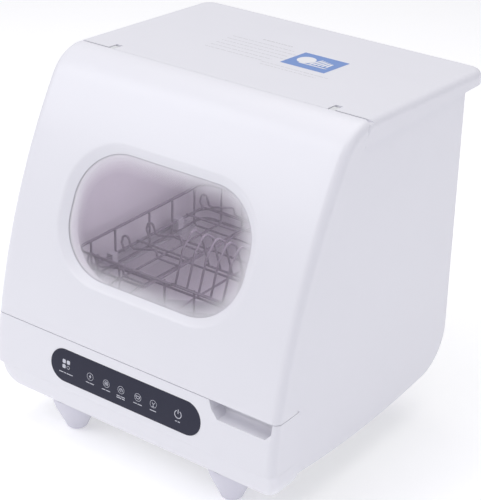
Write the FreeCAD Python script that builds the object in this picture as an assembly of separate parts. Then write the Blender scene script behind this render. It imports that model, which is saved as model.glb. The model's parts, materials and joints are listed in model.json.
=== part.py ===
import FreeCAD, Part
import math
import os
from FreeCAD import Vector

# Countertop dishwasher with a flip-up windowed door.
# Frame: +Z up, front towards -Y, origin on the resting plane under the centre of the bounding box.
# "depth" below is the distance behind the seam where the door meets the control panel.

# ---- driving dimensions (mm) ----
SEAM_Y = -205.7           # row-frame Y of the door seam plane
WIDTH_HALF = 210.0        # door and control panel
SIDE_HALF = 206.0         # outer face of the side panels
SHEET = 3.0               # wall of the moulded shells
SEAM_HEIGHT = 149.0
SEAM_DEPTH = 3.0
DOOR_GAP = 0.8            # open seam between door and control panel
FRONT_RADIUS = 831.0      # large arc of the door
FRONT_LEAN = 11.06        # degrees from vertical at the seam
CREST_RADIUS = 57.0       # arc that turns the door into the top
CREST_DEPTH = 160.2       # where the door ends on top
CREST_HEIGHT = 453.5
FLANGE = 37.0             # how far the door wraps round the sides
EDGE_ROUND = 10.0         # long rounded edges of the door
PANEL_FOOT = 84.0         # lower edge of the control panel
PANEL_RADIUS = 340.0
MODULE_DEPTH = 45.0       # control panel wraps round to here
CHIN_HEIGHT = 46.5        # underside of the base band
BACK_DEPTH = 372.0        # outer face of the rear panel
SLAB_BACK = 415.0         # top cover overhangs the rear panel to here
SLAB_HALF = 209.5
SLAB_LOW = 426.0
SLAB_FALL = 11.0          # the top cover drops this much towards the back
HINGE_DEPTH = 172.0
HINGE_HEIGHT = 447.0
EAR_X = 157.0             # middle of each hinge ear
EAR_WIDTH = 8.0
EAR_RADIUS = 5.3
PIN_RADIUS = 2.5
PIN_CLEARANCE = 0.06
WINDOW_ARC = 157.0        # arc length from the seam to the window's middle
WINDOW_X = 0.0
BEVEL_WIDTH = 283.0       # outline of the bevel on the door's face
GLASS_WIDTH = 255.0       # clear opening
GLASS_HEIGHT = 153.0
GLASS_ROUND = 68.0
GLASS_SINK = 8.0
PILL_LENGTH = 226.0
PILL_HEIGHT = 42.0
PILL_X = -4.0
PILL_Z = 116.0
TUB_HALF = 180.5
TUB_WALL = 2.5
TUB_FLOOR = 118.0
TUB_TOP = 418.0
TUB_BACK = 345.0
RIM_INSET = 33.0          # tub mouth flange behind the door's face
BASKET_HALF = 150.0
BASKET_FRONT = 82.0
BASKET_BACK = 333.0
BASKET_TOP = 221.0
BASKET_MID = 186.0
BASKET_LOW = 172.0
WIRE = 1.9                # radius of the rails
THIN_WIRE = 1.5
ARM_CENTRE = 192.0        # depth of the spray arm's axis
ARM_REACH = 140.0
FILTER_X = -105.0         # filter cup and sump
FILTER_D = 106.0
FOOT_X = 121.0
FOOT_FRONT = 43.0
FOOT_REAR = 318.0

X_AXIS = Vector(1, 0, 0)
Y_AXIS = Vector(0, 1, 0)
Z_AXIS = Vector(0, 0, 1)


def at(x, depth, z):
    """Point from x, depth behind the seam, and height."""
    return Vector(x, depth + SEAM_Y, z)


def box(x0, x1, d0, d1, z0, z1):
    return Part.makeBox(x1 - x0, d1 - d0, z1 - z0, at(x0, d0, z0))


def rod_x(x0, x1, depth, z, radius):
    return Part.makeCylinder(radius, x1 - x0, at(x0, depth, z), X_AXIS)


def rod_y(x, d0, d1, z, radius):
    return Part.makeCylinder(radius, d1 - d0, at(x, d0, z), Y_AXIS)


def rod_z(x, depth, z0, z1, radius):
    return Part.makeCylinder(radius, z1 - z0, at(x, depth, z0), Z_AXIS)


def line(a, b):
    return Part.LineSegment(a, b).toShape()


def arc(a, b, c):
    return Part.Arc(a, b, c).toShape()


def extrude_x(edges, half_width):
    """Solid from a closed outline in the x = 0 plane, centred on it."""
    face = Part.Face(Part.Wire(edges))
    face.translate(Vector(-half_width, 0, 0))
    return face.extrude(Vector(2 * half_width, 0, 0))


def edges_near(shape, test):
    return [edge for edge in shape.Edges if test(edge)]


def fused(first, *others):
    return first.fuse(list(others)).removeSplitter()


def wire_path(points, bend, closed=False):
    """Straight runs joined by tangent arcs of radius bend."""
    count = len(points)
    if closed:
        corners = range(count)
    else:
        corners = range(1, count - 1)
    cuts = {}
    for i in corners:
        here = points[i]
        before = (points[i - 1] - here).normalize()
        after = (points[(i + 1) % count] - here).normalize()
        half = before.getAngle(after) / 2.0
        reach = bend / math.tan(half)
        middle = (before + after).normalize() * (bend / math.sin(half) - bend)
        cuts[i] = (here + before * reach, here + middle, here + after * reach)
    edges = []
    for i in range(count if closed else count - 1):
        j = (i + 1) % count
        start = cuts[i][2] if i in cuts else points[i]
        end = cuts[j][0] if j in cuts else points[j]
        if start.distanceToPoint(end) > 0.01:
            edges.append(line(start, end))
        if j in cuts:
            edges.append(arc(*cuts[j]))
    return Part.Wire(edges)


def bent_wire(points, radius, bend, closed=False):
    path = wire_path(points, bend, closed)
    first = path.Edges[0]
    start = first.valueAt(first.FirstParameter)
    ring = Part.Wire(Part.makeCircle(radius, start, first.tangentAt(first.FirstParameter)))
    return path.makePipeShell([ring], True, False)


# ---- the curved front: two tangent arcs, offset inwards by "inset" ----
LEAN = math.radians(FRONT_LEAN)
ARC_DEPTH = SEAM_DEPTH + FRONT_RADIUS * math.cos(LEAN)
ARC_HEIGHT = SEAM_HEIGHT - FRONT_RADIUS * math.sin(LEAN)
CREST_CENTRE_Z = CREST_HEIGHT - CREST_RADIUS
JOIN = math.asin((CREST_CENTRE_Z - ARC_HEIGHT) / (FRONT_RADIUS - CREST_RADIUS))
CREST_CENTRE_D = ARC_DEPTH - (FRONT_RADIUS - CREST_RADIUS) * math.cos(JOIN)


def front_depth(inset, z):
    return ARC_DEPTH - math.sqrt((FRONT_RADIUS - inset) ** 2 - (z - ARC_HEIGHT) ** 2)


def front_point(inset, angle):
    radius = FRONT_RADIUS - inset
    return at(0, ARC_DEPTH - radius * math.cos(angle), ARC_HEIGHT + radius * math.sin(angle))


def crest_point(inset, angle):
    radius = CREST_RADIUS - inset
    return at(0, CREST_CENTRE_D - radius * math.cos(angle), CREST_CENTRE_Z + radius * math.sin(angle))


def front_edges(inset, z_low, shift=0.0):
    """The two arcs from height z_low up to the door's rear edge, moved back by shift."""
    radius = FRONT_RADIUS - inset
    low = math.asin((z_low - ARC_HEIGHT) / radius)
    move = Vector(0, shift, 0)
    first = arc(front_point(inset, low) + move, front_point(inset, (low + JOIN) / 2) + move,
                front_point(inset, JOIN) + move)
    top = math.pi / 2
    second = arc(crest_point(inset, JOIN) + move, crest_point(inset, (JOIN + top) / 2) + move,
                 crest_point(inset, top) + move)
    return first, second


def band(outer, inner, z_low, half_width):
    """Sheet that follows the front between two insets."""
    a = front_edges(outer, z_low)
    b = front_edges(inner, z_low)
    bottom = line(a[0].Vertexes[0].Point, b[0].Vertexes[0].Point)
    top = line(a[1].Vertexes[-1].Point, b[1].Vertexes[-1].Point)
    return extrude_x([a[0], a[1], top, b[1], b[0], bottom], half_width)


def behind(inset, z_low, half_width, d_back):
    """Everything behind the front at an inset."""
    a = front_edges(inset, z_low)
    low = a[0].Vertexes[0].Point
    top = a[1].Vertexes[-1].Point
    back_top = at(0, d_back, top.z)
    back_low = at(0, d_back, z_low)
    return extrude_x([a[0], a[1], line(top, back_top), line(back_top, back_low), line(back_low, low)], half_width)


# ---- window outlines, in planes square to the door at the window's middle ----
WINDOW_ANGLE = LEAN + WINDOW_ARC / FRONT_RADIUS
WINDOW_CENTRE = front_point(0, WINDOW_ANGLE) + Vector(WINDOW_X, 0, 0)
WINDOW_UP = Vector(0, math.sin(WINDOW_ANGLE), math.cos(WINDOW_ANGLE))
WINDOW_OUT = Vector(0, -math.cos(WINDOW_ANGLE), math.sin(WINDOW_ANGLE))


def window_outline(width, height, radius, sink):

    def spot(u, v):
        return WINDOW_CENTRE + X_AXIS * u + WINDOW_UP * v - WINDOW_OUT * sink

    half_u = width / 2
    half_v = height / 2
    diagonal = radius * (1 - math.sqrt(0.5))
    edges = []
    corners = [(1, 1), (-1, 1), (-1, -1), (1, -1)]
    for index, (su, sv) in enumerate(corners):
        side = spot(su * half_u, sv * (half_v - radius))
        corner = spot(su * (half_u - diagonal), sv * (half_v - diagonal))
        level = spot(su * (half_u - radius), sv * half_v)
        nu, nv = corners[(index + 1) % 4]
        if su * sv > 0:
            edges.append(arc(side, corner, level))
            edges.append(line(level, spot(nu * (half_u - radius), nv * half_v)))
        else:
            edges.append(arc(level, corner, side))
            edges.append(line(side, spot(nu * half_u, nv * (half_v - radius))))
    return Part.Wire(edges)


def window_prism(width, height, radius, sink_low=-10.0, sink_high=45.0):
    face = Part.Face(window_outline(width, height, radius, sink_high))
    return face.extrude(WINDOW_OUT * (sink_high - sink_low))


def bevel_tool():
    """Tapered cutter that leaves the sloped surround of the window."""
    slope_u = (BEVEL_WIDTH - GLASS_WIDTH) / GLASS_SINK
    slope_v = 2.9
    sag = GLASS_HEIGHT ** 2 / (8 * FRONT_RADIUS)
    outside = -2.0
    inside = 14.0
    wires = []
    for sink in (inside, outside):
        width = GLASS_WIDTH - slope_u * (sink - GLASS_SINK)
        height = GLASS_HEIGHT - slope_v * (sink - GLASS_SINK - sag)
        round_ = GLASS_ROUND - 0.5 * slope_u * (sink - GLASS_SINK) * 0.6
        wires.append(window_outline(width, height, min(round_, height / 2 - 1), sink))
    return Part.makeLoft(wires, True, True)


# ---- door ----
DOOR_LOW = SEAM_HEIGHT + DOOR_GAP
LINER_OUT = 24.0
LINER_IN = 27.0
LINER_HALF = 196.0
LINER_BACK = 150.0
LIP_SLANT = 1.6           # the door's rear lip is undercut so that it lifts past the top cover


def on_front(edge, half_width, inset=0.0):
    """True for a long curved edge of the door, at the end of its width."""
    middle = edge.valueAt((edge.FirstParameter + edge.LastParameter) / 2)
    if abs(abs(middle.x) - half_width) > 0.01:
        return False
    depth = middle.y - SEAM_Y
    off_arc = math.hypot(depth - ARC_DEPTH, middle.z - ARC_HEIGHT) - FRONT_RADIUS + inset
    off_crest = math.hypot(depth - CREST_CENTRE_D, middle.z - CREST_CENTRE_Z) - CREST_RADIUS + inset
    return min(abs(off_arc), abs(off_crest)) < 0.02


def door_skin():
    front = front_edges(0, DOOR_LOW)
    back = front_edges(0, DOOR_LOW, FLANGE)[0]
    low = front[0].Vertexes[0].Point
    back_low = back.Vertexes[0].Point
    back_top = back.Vertexes[-1].Point
    corners = [front[1].Vertexes[-1].Point, at(0, CREST_DEPTH - LIP_SLANT, CREST_HEIGHT - SHEET),
               at(0, CREST_DEPTH - 7, CREST_HEIGHT - 9), at(0, CREST_DEPTH - 7, CREST_HEIGHT - 17), back_top]
    rear = [line(a, b) for a, b in zip(corners, corners[1:])]
    outer = extrude_x([front[0], front[1]] + rear + [back, line(back_low, low)], WIDTH_HALF)
    outer = outer.makeFillet(EDGE_ROUND, edges_near(outer, lambda e: on_front(e, WIDTH_HALF)))
    inner_half = WIDTH_HALF - SHEET
    inner = behind(SHEET, DOOR_LOW - 20, inner_half, 400)
    inner = inner.makeFillet(EDGE_ROUND - SHEET, edges_near(inner, lambda e: on_front(e, inner_half, SHEET)))
    surround = band(SHEET - 1, GLASS_SINK, DOOR_LOW + 30, WIDTH_HALF - 40)
    surround = surround.common(window_prism(BEVEL_WIDTH + 8, GLASS_HEIGHT + 36, GLASS_ROUND + 16))
    return outer.cut(inner).fuse(surround).cut(bevel_tool()).removeSplitter()


def door_window():
    pane = band(GLASS_SINK, GLASS_SINK + 3, DOOR_LOW + 30, WIDTH_HALF - 40)
    return pane.common(window_prism(GLASS_WIDTH + 16, GLASS_HEIGHT + 16, GLASS_ROUND + 8))


def window_seal():
    ring = band(GLASS_SINK + 3, GLASS_SINK + 5, DOOR_LOW + 30, WIDTH_HALF - 40)
    ring = ring.common(window_prism(GLASS_WIDTH + 16, GLASS_HEIGHT + 16, GLASS_ROUND + 8))
    return ring.cut(window_prism(GLASS_WIDTH + 4, GLASS_HEIGHT + 4, GLASS_ROUND + 2))


def door_liner():
    """Inner door panel, a shallow tray with a collar that clamps the glass."""
    tray = band(SHEET + 0.1, LINER_IN, DOOR_LOW, LINER_HALF)
    hollow = band(SHEET - 5, LINER_OUT, DOOR_LOW + SHEET, LINER_HALF - SHEET)
    hollow = hollow.cut(box(-300, 300, LINER_BACK - SHEET, 300, 100, 600))
    tray = tray.cut(box(-300, 300, LINER_BACK, 300, 100, 600)).cut(hollow)
    collar = band(GLASS_SINK + 5, LINER_OUT + 1, DOOR_LOW + 20, WIDTH_HALF - 30)
    collar = collar.common(window_prism(GLASS_WIDTH + 14, GLASS_HEIGHT + 14, GLASS_ROUND + 7))
    tray = tray.fuse(collar).cut(window_prism(GLASS_WIDTH + 6, GLASS_HEIGHT + 6, GLASS_ROUND + 3))
    tray = tray.cut(window_prism(BEVEL_WIDTH + 9, GLASS_HEIGHT + 37, GLASS_ROUND + 17, -10, GLASS_SINK - 0.5))
    for side in (-1, 1):
        middle = side * EAR_X
        tray = tray.cut(box(middle - 5, middle + 5, 130, 170, 433, 470))
    return tray.removeSplitter()


def hinge_ear(side):
    """Arm under the door's top skin that ends in a ring round the hinge pin."""
    low = side * EAR_X - EAR_WIDTH / 2
    high = side * EAR_X + EAR_WIDTH / 2
    under = box(low, high, 137, CREST_DEPTH + 1, 436, CREST_HEIGHT - SHEET - 0.1)
    under = under.common(behind(SHEET + 0.05, 300, 300, 400))
    top = box(low, high, CREST_DEPTH + 0.1, HINGE_DEPTH, HINGE_HEIGHT - EAR_RADIUS, HINGE_HEIGHT + EAR_RADIUS)
    under = under.cut(box(low - 1, high + 1, 148, 180, 430, HINGE_HEIGHT - EAR_RADIUS))
    ring = rod_x(low, high, HINGE_DEPTH, HINGE_HEIGHT, EAR_RADIUS)
    hole = rod_x(low - 1, high + 1, HINGE_DEPTH, HINGE_HEIGHT, PIN_RADIUS + PIN_CLEARANCE)
    return fused(under, top, ring).cut(hole)


def hinge_pin(side):
    return rod_x(side * EAR_X - 9, side * EAR_X + 9, HINGE_DEPTH, HINGE_HEIGHT, PIN_RADIUS)


def door_screws():
    """Countersunk screws that hold the liner to the skin, from inside."""
    screws = []
    for x in (-188, 188):
        for z in (175, 250, 325, 395):
            depth = front_depth(LINER_IN, z)
            lean = math.asin((z - ARC_HEIGHT) / (FRONT_RADIUS - LINER_IN))
            back = Vector(0, math.cos(lean), -math.sin(lean))
            start = at(x, depth, z) + back * 0.15
            head = Part.makeCylinder(3.2, 1.4, start, back)
            recess = Part.makeCylinder(1.3, 1.0, start + back * 0.8, back)
            screws.append(head.cut(recess))
    return Part.makeCompound(screws)


def strike_plate():
    """Steel plate inside the door's lower edge that the catch magnet holds."""
    low = DOOR_LOW + SHEET
    return box(-16, 16, 12, 26, low, low + 1.2)


def catch_magnet():
    return box(-14, 14, 12, 26, 137.5, SEAM_HEIGHT - SHEET)


# ---- control panel and base ----
PANEL_CENTRE_D = PANEL_RADIUS - 3.5


def panel_depth(inset, z):
    return PANEL_CENTRE_D - math.sqrt((PANEL_RADIUS - inset) ** 2 - (z - PANEL_FOOT) ** 2)


def panel_block(inset, z_low, z_high, d_back, half_width, round_):

    def spot(z):
        return at(0, panel_depth(inset, z), z)

    a = spot(z_low)
    b = spot(z_high)
    back_high = at(0, d_back, z_high)
    back_low = at(0, d_back, z_low)
    block = extrude_x([arc(a, spot((z_low + z_high) / 2), b), line(b, back_high), line(back_high, back_low),
                       line(back_low, a)], half_width)
    if round_ == 0:
        return block

    def is_corner(edge):
        middle = edge.valueAt((edge.FirstParameter + edge.LastParameter) / 2)
        off = abs(middle.y - SEAM_Y - panel_depth(inset, middle.z))
        inside = z_low + 1 < middle.z < z_high - 1
        return abs(abs(middle.x) - half_width) < 0.01 and off < 0.05 and inside

    return block.makeFillet(round_, edges_near(block, is_corner))


GRIP_LOW = 130.0
GRIP_HIGH_X = 203.0
GRIP_LOW_X = 114.0
GRIP_DEPTH = 20.0


def grip_scoop(grow, top):
    """Finger space under the door's right-hand end."""
    low = GRIP_LOW - grow
    points = [Vector(GRIP_LOW_X - grow, 0, top), Vector(GRIP_LOW_X + 8 - grow, 0, low + 9),
              Vector(GRIP_LOW_X + 17, 0, low), Vector(GRIP_HIGH_X - 7, 0, low),
              Vector(GRIP_HIGH_X + grow, 0, low + 8), Vector(GRIP_HIGH_X + grow, 0, top)]
    face = Part.Face(Part.makePolygon(points + points[:1]))
    face.translate(Vector(0, SEAM_Y - 12, 0))
    scoop = face.extrude(Vector(0, 12 + GRIP_DEPTH + grow, 0))

    def is_deep_low(edge):
        a, b = edge.Vertexes[0].Point, edge.Vertexes[-1].Point
        deep = SEAM_Y + GRIP_DEPTH + grow
        return abs(a.y - deep) < 0.01 and abs(b.y - deep) < 0.01 and max(a.z, b.z) < low + 0.1

    return scoop.makeFillet(7.0, edges_near(scoop, is_deep_low))


def pill_prism(length, height, d_low, d_high):
    half = length / 2 - height / 2
    bar = box(PILL_X - half, PILL_X + half, d_low, d_high, PILL_Z - height / 2, PILL_Z + height / 2)
    ends = [Part.makeCylinder(height / 2, d_high - d_low, at(PILL_X + s * half, d_low, PILL_Z), Y_AXIS)
            for s in (-1, 1)]
    return fused(bar, *ends)


def control_panel():
    outer = panel_block(0, PANEL_FOOT, SEAM_HEIGHT, MODULE_DEPTH, WIDTH_HALF, EDGE_ROUND)
    inner = panel_block(SHEET, PANEL_FOOT + SHEET, SEAM_HEIGHT - SHEET, 80, WIDTH_HALF - SHEET, EDGE_ROUND - SHEET)
    panel = outer.cut(inner).cut(box(-WIDTH_HALF + SHEET, WIDTH_HALF - SHEET, 31, 80, 60, 160))
    panel = panel.cut(grip_scoop(0, SEAM_HEIGHT + 5))
    seat = pill_prism(PILL_LENGTH + 0.4, PILL_HEIGHT + 0.4, -10, 12)
    seat = seat.cut(panel_block(1.5, 80, 160, 60, WIDTH_HALF, 0))
    return panel.cut(seat).removeSplitter()


def grip_pocket():
    """Liner of the finger space, set against the inside of the control panel."""
    gap = 0.05
    top = SEAM_HEIGHT - SHEET - gap
    pocket = grip_scoop(2.5, SEAM_HEIGHT)
    inside = panel_block(SHEET + gap, PANEL_FOOT, top, 60, WIDTH_HALF - SHEET - gap, EDGE_ROUND - SHEET)
    pocket = pocket.common(inside)
    return pocket.cut(grip_scoop(0, SEAM_HEIGHT + 5))


def display_lens():
    plate = panel_block(-0.3, 90, 142, 60, 150, 0).cut(panel_block(1.5, 80, 150, 70, 160, 0))
    return plate.common(pill_prism(PILL_LENGTH, PILL_HEIGHT, -10, 12))


def touch_board():
    board = box(-112, 104, 8.0, 9.6, 98, 134)
    pads = [rod_y(PILL_X + offset, 7.0, 8.0, 118, 6.0) for offset in (-89, -51, -26, -3, 22, 45, 81)]
    connector = box(-90, -70, 9.6, 15, 100, 108)
    return fused(board, connector, *pads)


def base_block(inset, half_width, d_back, top, corner, round_):
    """Band with a sloping front and rounded lower ends, seen from the front."""
    low = CHIN_HEIGHT + inset
    slope = 10.5 / (PANEL_FOOT - CHIN_HEIGHT)

    def front(z):
        return 11.0 + inset - (z - CHIN_HEIGHT) * slope

    corners = [at(0, front(low), low), at(0, front(top), top), at(0, d_back, top), at(0, d_back, low)]
    band_ = extrude_x([line(a, b) for a, b in zip(corners, corners[1:] + corners[:1])], half_width)
    side, cut = half_width, corner * (1 - math.sqrt(0.5))
    ahead = -20
    ends = [at(-side, ahead, top + 1), at(-side, ahead, low + corner), at(-side + cut, ahead, low + cut),
            at(-side + corner, ahead, low), at(side - corner, ahead, low), at(side - cut, ahead, low + cut),
            at(side, ahead, low + corner), at(side, ahead, top + 1)]
    outline = [line(ends[0], ends[1]), arc(ends[1], ends[2], ends[3]), line(ends[3], ends[4]),
               arc(ends[4], ends[5], ends[6]), line(ends[6], ends[7]), line(ends[7], ends[0])]
    band_ = band_.common(Part.Face(Part.Wire(outline)).extrude(Vector(0, d_back + 60, 0)))
    if round_ == 0:
        return band_

    def on_rim(edge):
        middle = edge.valueAt((edge.FirstParameter + edge.LastParameter) / 2)
        return abs(middle.y - SEAM_Y - front(middle.z)) < 0.01 and middle.z < top - 0.01

    return band_.makeFillet(round_, edges_near(band_, on_rim))


def front_base():
    """Undercut band below the control panel. Its rounded ends wrap round the side panels."""
    top = PANEL_FOOT - 0.2
    inner_half = SIDE_HALF - SHEET - 0.3
    wrap = base_block(0, WIDTH_HALF, MODULE_DEPTH, top, 25, EDGE_ROUND)
    hollow = base_block(SHEET, WIDTH_HALF - SHEET, MODULE_DEPTH - SHEET, top + 2, 22, EDGE_ROUND - SHEET)
    rear = base_block(0, inner_half, 66, top, 20, 0)
    rear_hollow = base_block(SHEET, inner_half - SHEET, 66 - SHEET, top + 2, 17, 0)
    shell = wrap.cut(hollow).fuse(rear.cut(box(-220, 220, -5, MODULE_DEPTH - SHEET, 40, 90)))
    shell = shell.cut(rear_hollow.common(box(-220, 220, MODULE_DEPTH - SHEET - 1, 70, 40, 90)))
    for side in (-1, 1):
        low, high = sorted((side * inner_half, side * (SIDE_HALF + 0.3)))
        shell = shell.cut(box(low, high, 31.5, 70, 63.2, 90))
        shell = shell.cut(rod_z(side * FOOT_X, FOOT_FRONT, CHIN_HEIGHT - 1, CHIN_HEIGHT + 5, 4.05))
    return shell.removeSplitter()


TRAY_START = 66.3
TRAY_TOP = 112.0


def floor_outline(shift, top):
    """Side view of the underside, from the front base to the rounded rear corner."""

    def spot(depth, z):
        return at(0, depth - shift, z + shift)

    front = spot(TRAY_START, 61.5)
    rear = spot(316, 62)
    lift = spot(BACK_DEPTH - 0.2, TRAY_TOP)
    top_rear = at(0, lift.y - SEAM_Y, top)
    top_front = at(0, TRAY_START - shift, top)
    edges = [arc(front, spot(185, 55), rear), arc(rear, spot(354, 78), lift)]
    if top > lift.z + 0.1:
        edges.append(line(lift, top_rear))
    return edges + [line(top_rear, top_front), line(top_front, front)]


def base_tray():
    outer = extrude_x(floor_outline(0, TRAY_TOP), SIDE_HALF - SHEET - 0.05)
    tray = outer.cut(extrude_x(floor_outline(SHEET, TRAY_TOP + 40), SIDE_HALF - 2 * SHEET))
    for side in (-1, 1):
        boss = rod_z(side * FOOT_X, FOOT_REAR, CHIN_HEIGHT, 68, 22)
        hole = rod_z(side * FOOT_X, FOOT_REAR, CHIN_HEIGHT - 1, 80, 4.05)
        tray = tray.fuse(boss).cut(hole)
    for row in range(5):
        for column in range(9):
            x = -64 + column * 16
            tray = tray.cut(box(x - 2.5, x + 2.5, 140 + row * 26, 158 + row * 26, 50, 62))
    return tray.removeSplitter()


def side_panel(side):
    """Flat side with its front edge tucked under the door and the control panel."""
    tuck = 15.0
    front = front_edges(0, SEAM_HEIGHT + 0.3, tuck)[0]
    start = front.Vertexes[0].Point
    end = front.Vertexes[-1].Point
    low = at(0, 32, 65)
    knee = at(0, 32, start.z)
    outline = [
        line(low, knee), line(knee, start), front,
        line(end, at(0, 140, SLAB_LOW - 0.3)),
        line(at(0, 140, SLAB_LOW - 0.3), at(0, BACK_DEPTH - 2, SLAB_LOW - 0.3)),
        line(at(0, BACK_DEPTH - 2, SLAB_LOW - 0.3), at(0, BACK_DEPTH - 2, 112)),
        arc(at(0, BACK_DEPTH - 2, 112), at(0, 354, 78), at(0, 316, 62)),
        arc(at(0, 316, 62), at(0, 185, 55), at(0, TRAY_START, 61.5)),
        line(at(0, TRAY_START, 61.5), low)]
    plate = extrude_x(outline, SHEET / 2)
    plate.translate(Vector(side * (SIDE_HALF - SHEET / 2), 0, 0))
    return plate


# ---- rear panel and what comes out of it ----
INLET_X = -150.0
INLET_Z = 130.0
INLET_RADIUS = 13.0
DRAIN_X = -95.0
DRAIN_Z = 105.0
DRAIN_RADIUS = 9.0
ELBOW_DEPTH = 356.5
SOCKET_X = 150.0
SOCKET_Z = 125.0
REAR_SCREWS = [(x, z) for x in (-188, 188) for z in (125, 270, 410)] + [(0, 125), (0, 410)]


def rear_panel():
    plate = box(-SIDE_HALF + SHEET, SIDE_HALF - SHEET, BACK_DEPTH - SHEET, BACK_DEPTH, 112.3, SLAB_LOW - 0.3)
    plate = plate.cut(rod_y(INLET_X, 360, 380, INLET_Z, 14.2)).cut(rod_y(DRAIN_X, 360, 380, DRAIN_Z + 20, 12.0))
    plate = plate.cut(box(SOCKET_X - 14, SOCKET_X + 14, 360, 380, SOCKET_Z - 10, SOCKET_Z + 10))
    for x, z in REAR_SCREWS:
        plate = plate.cut(rod_y(x, 360, 380, z, 1.75))
    for row in range(7):
        for x0 in (-120, 60):
            z = 330 + row * 10
            plate = plate.cut(box(x0, x0 + 60, 360, 380, z, z + 4))
    return plate


def rear_screws():
    screws = []
    for x, z in REAR_SCREWS:
        shank = rod_y(x, BACK_DEPTH - 3, BACK_DEPTH, z, 1.7)
        head = rod_y(x, BACK_DEPTH, BACK_DEPTH + 2.2, z, 3.6)
        slot = box(x - 2.2, x + 2.2, BACK_DEPTH + 1.2, BACK_DEPTH + 3, z - 0.5, z + 0.5)
        cross = box(x - 0.5, x + 0.5, BACK_DEPTH + 1.2, BACK_DEPTH + 3, z - 2.2, z + 2.2)
        screws.append(fused(shank, head).cut(slot).cut(cross))
    return Part.makeCompound(screws)


def inlet_valve():
    """Water valve behind the rear panel, with a plain hose stub outside it."""
    stub = rod_y(INLET_X, BACK_DEPTH - 3, BACK_DEPTH + 27, INLET_Z, INLET_RADIUS)
    ring = rod_y(INLET_X, BACK_DEPTH, BACK_DEPTH + 3, INLET_Z, 17.0)
    collar = rod_y(INLET_X, BACK_DEPTH - 8, BACK_DEPTH - 3, INLET_Z, 18.0)
    body = box(INLET_X - 16, INLET_X + 16, 349, BACK_DEPTH - 7, INLET_Z - 16, INLET_Z + 16)
    coil = rod_z(INLET_X, 357, INLET_Z + 16, INLET_Z + 46, 8.0)
    bore = rod_y(INLET_X, BACK_DEPTH - 2, BACK_DEPTH + 30, INLET_Z, 9.5)
    return fused(stub, ring, collar, body, coil).cut(bore)


def drain_spigot():
    stub = rod_y(DRAIN_X, BACK_DEPTH - 3, BACK_DEPTH + 27, DRAIN_Z + 20, DRAIN_RADIUS)
    ring = rod_y(DRAIN_X, BACK_DEPTH, BACK_DEPTH + 3, DRAIN_Z + 20, 14.0)
    flange = rod_y(DRAIN_X, BACK_DEPTH - 6, BACK_DEPTH - 3, DRAIN_Z + 20, 12.5)
    elbow = rod_z(DRAIN_X, ELBOW_DEPTH, 104, DRAIN_Z + 28, 6.5)
    link = rod_y(DRAIN_X, ELBOW_DEPTH - 8, BACK_DEPTH - 5, DRAIN_Z + 20, 8.0)
    bore = rod_y(DRAIN_X, 364, BACK_DEPTH + 30, DRAIN_Z + 20, 6.5)
    return fused(stub, ring, flange, elbow, link).cut(bore)


def power_inlet():
    """Recessed mains socket with three contact blades."""
    body = box(SOCKET_X - 13.7, SOCKET_X + 13.7, 352, BACK_DEPTH + 0.5, SOCKET_Z - 9.7, SOCKET_Z + 9.7)
    flange = box(SOCKET_X - 24, SOCKET_X + 24, BACK_DEPTH, BACK_DEPTH + 2.5, SOCKET_Z - 13, SOCKET_Z + 13)
    mouth = box(SOCKET_X - 12, SOCKET_X + 12, 356, 380, SOCKET_Z - 8, SOCKET_Z + 8)
    shell = fused(body, flange).cut(mouth)
    blades = [box(SOCKET_X + dx - 1, SOCKET_X + dx + 1, 355, 369, SOCKET_Z + dz - 2, SOCKET_Z + dz + 2)
              for dx, dz in ((-7, -2), (7, -2), (0, 3))]
    return fused(shell, *blades)


# ---- top cover ----
SLOT_HALF = EAR_WIDTH / 2 + 0.7


def slab_horn(side):
    """Front corner of the top cover that fills in behind the door's side."""
    top = 450.0
    start = LINER_HALF + 1
    outline = [at(0, 149.7, SLAB_LOW), at(0, 154.1, 436.3), at(0, 154.1, 444.0), at(0, 159.6, top),
               at(0, 172, top), at(0, 172, SLAB_LOW)]
    horn = extrude_x([line(a, b) for a, b in zip(outline, outline[1:] + outline[:1])], (SLAB_HALF - start) / 2)
    horn.translate(Vector(side * (SLAB_HALF + start) / 2, 0, 0))

    def is_top_outer(edge):
        ends = [vertex.Point for vertex in edge.Vertexes]
        return all(abs(abs(p.x) - SLAB_HALF) < 0.01 and p.z > 443 for p in ends)

    return horn.makeFillet(5.5, edges_near(horn, is_top_outer))


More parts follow.
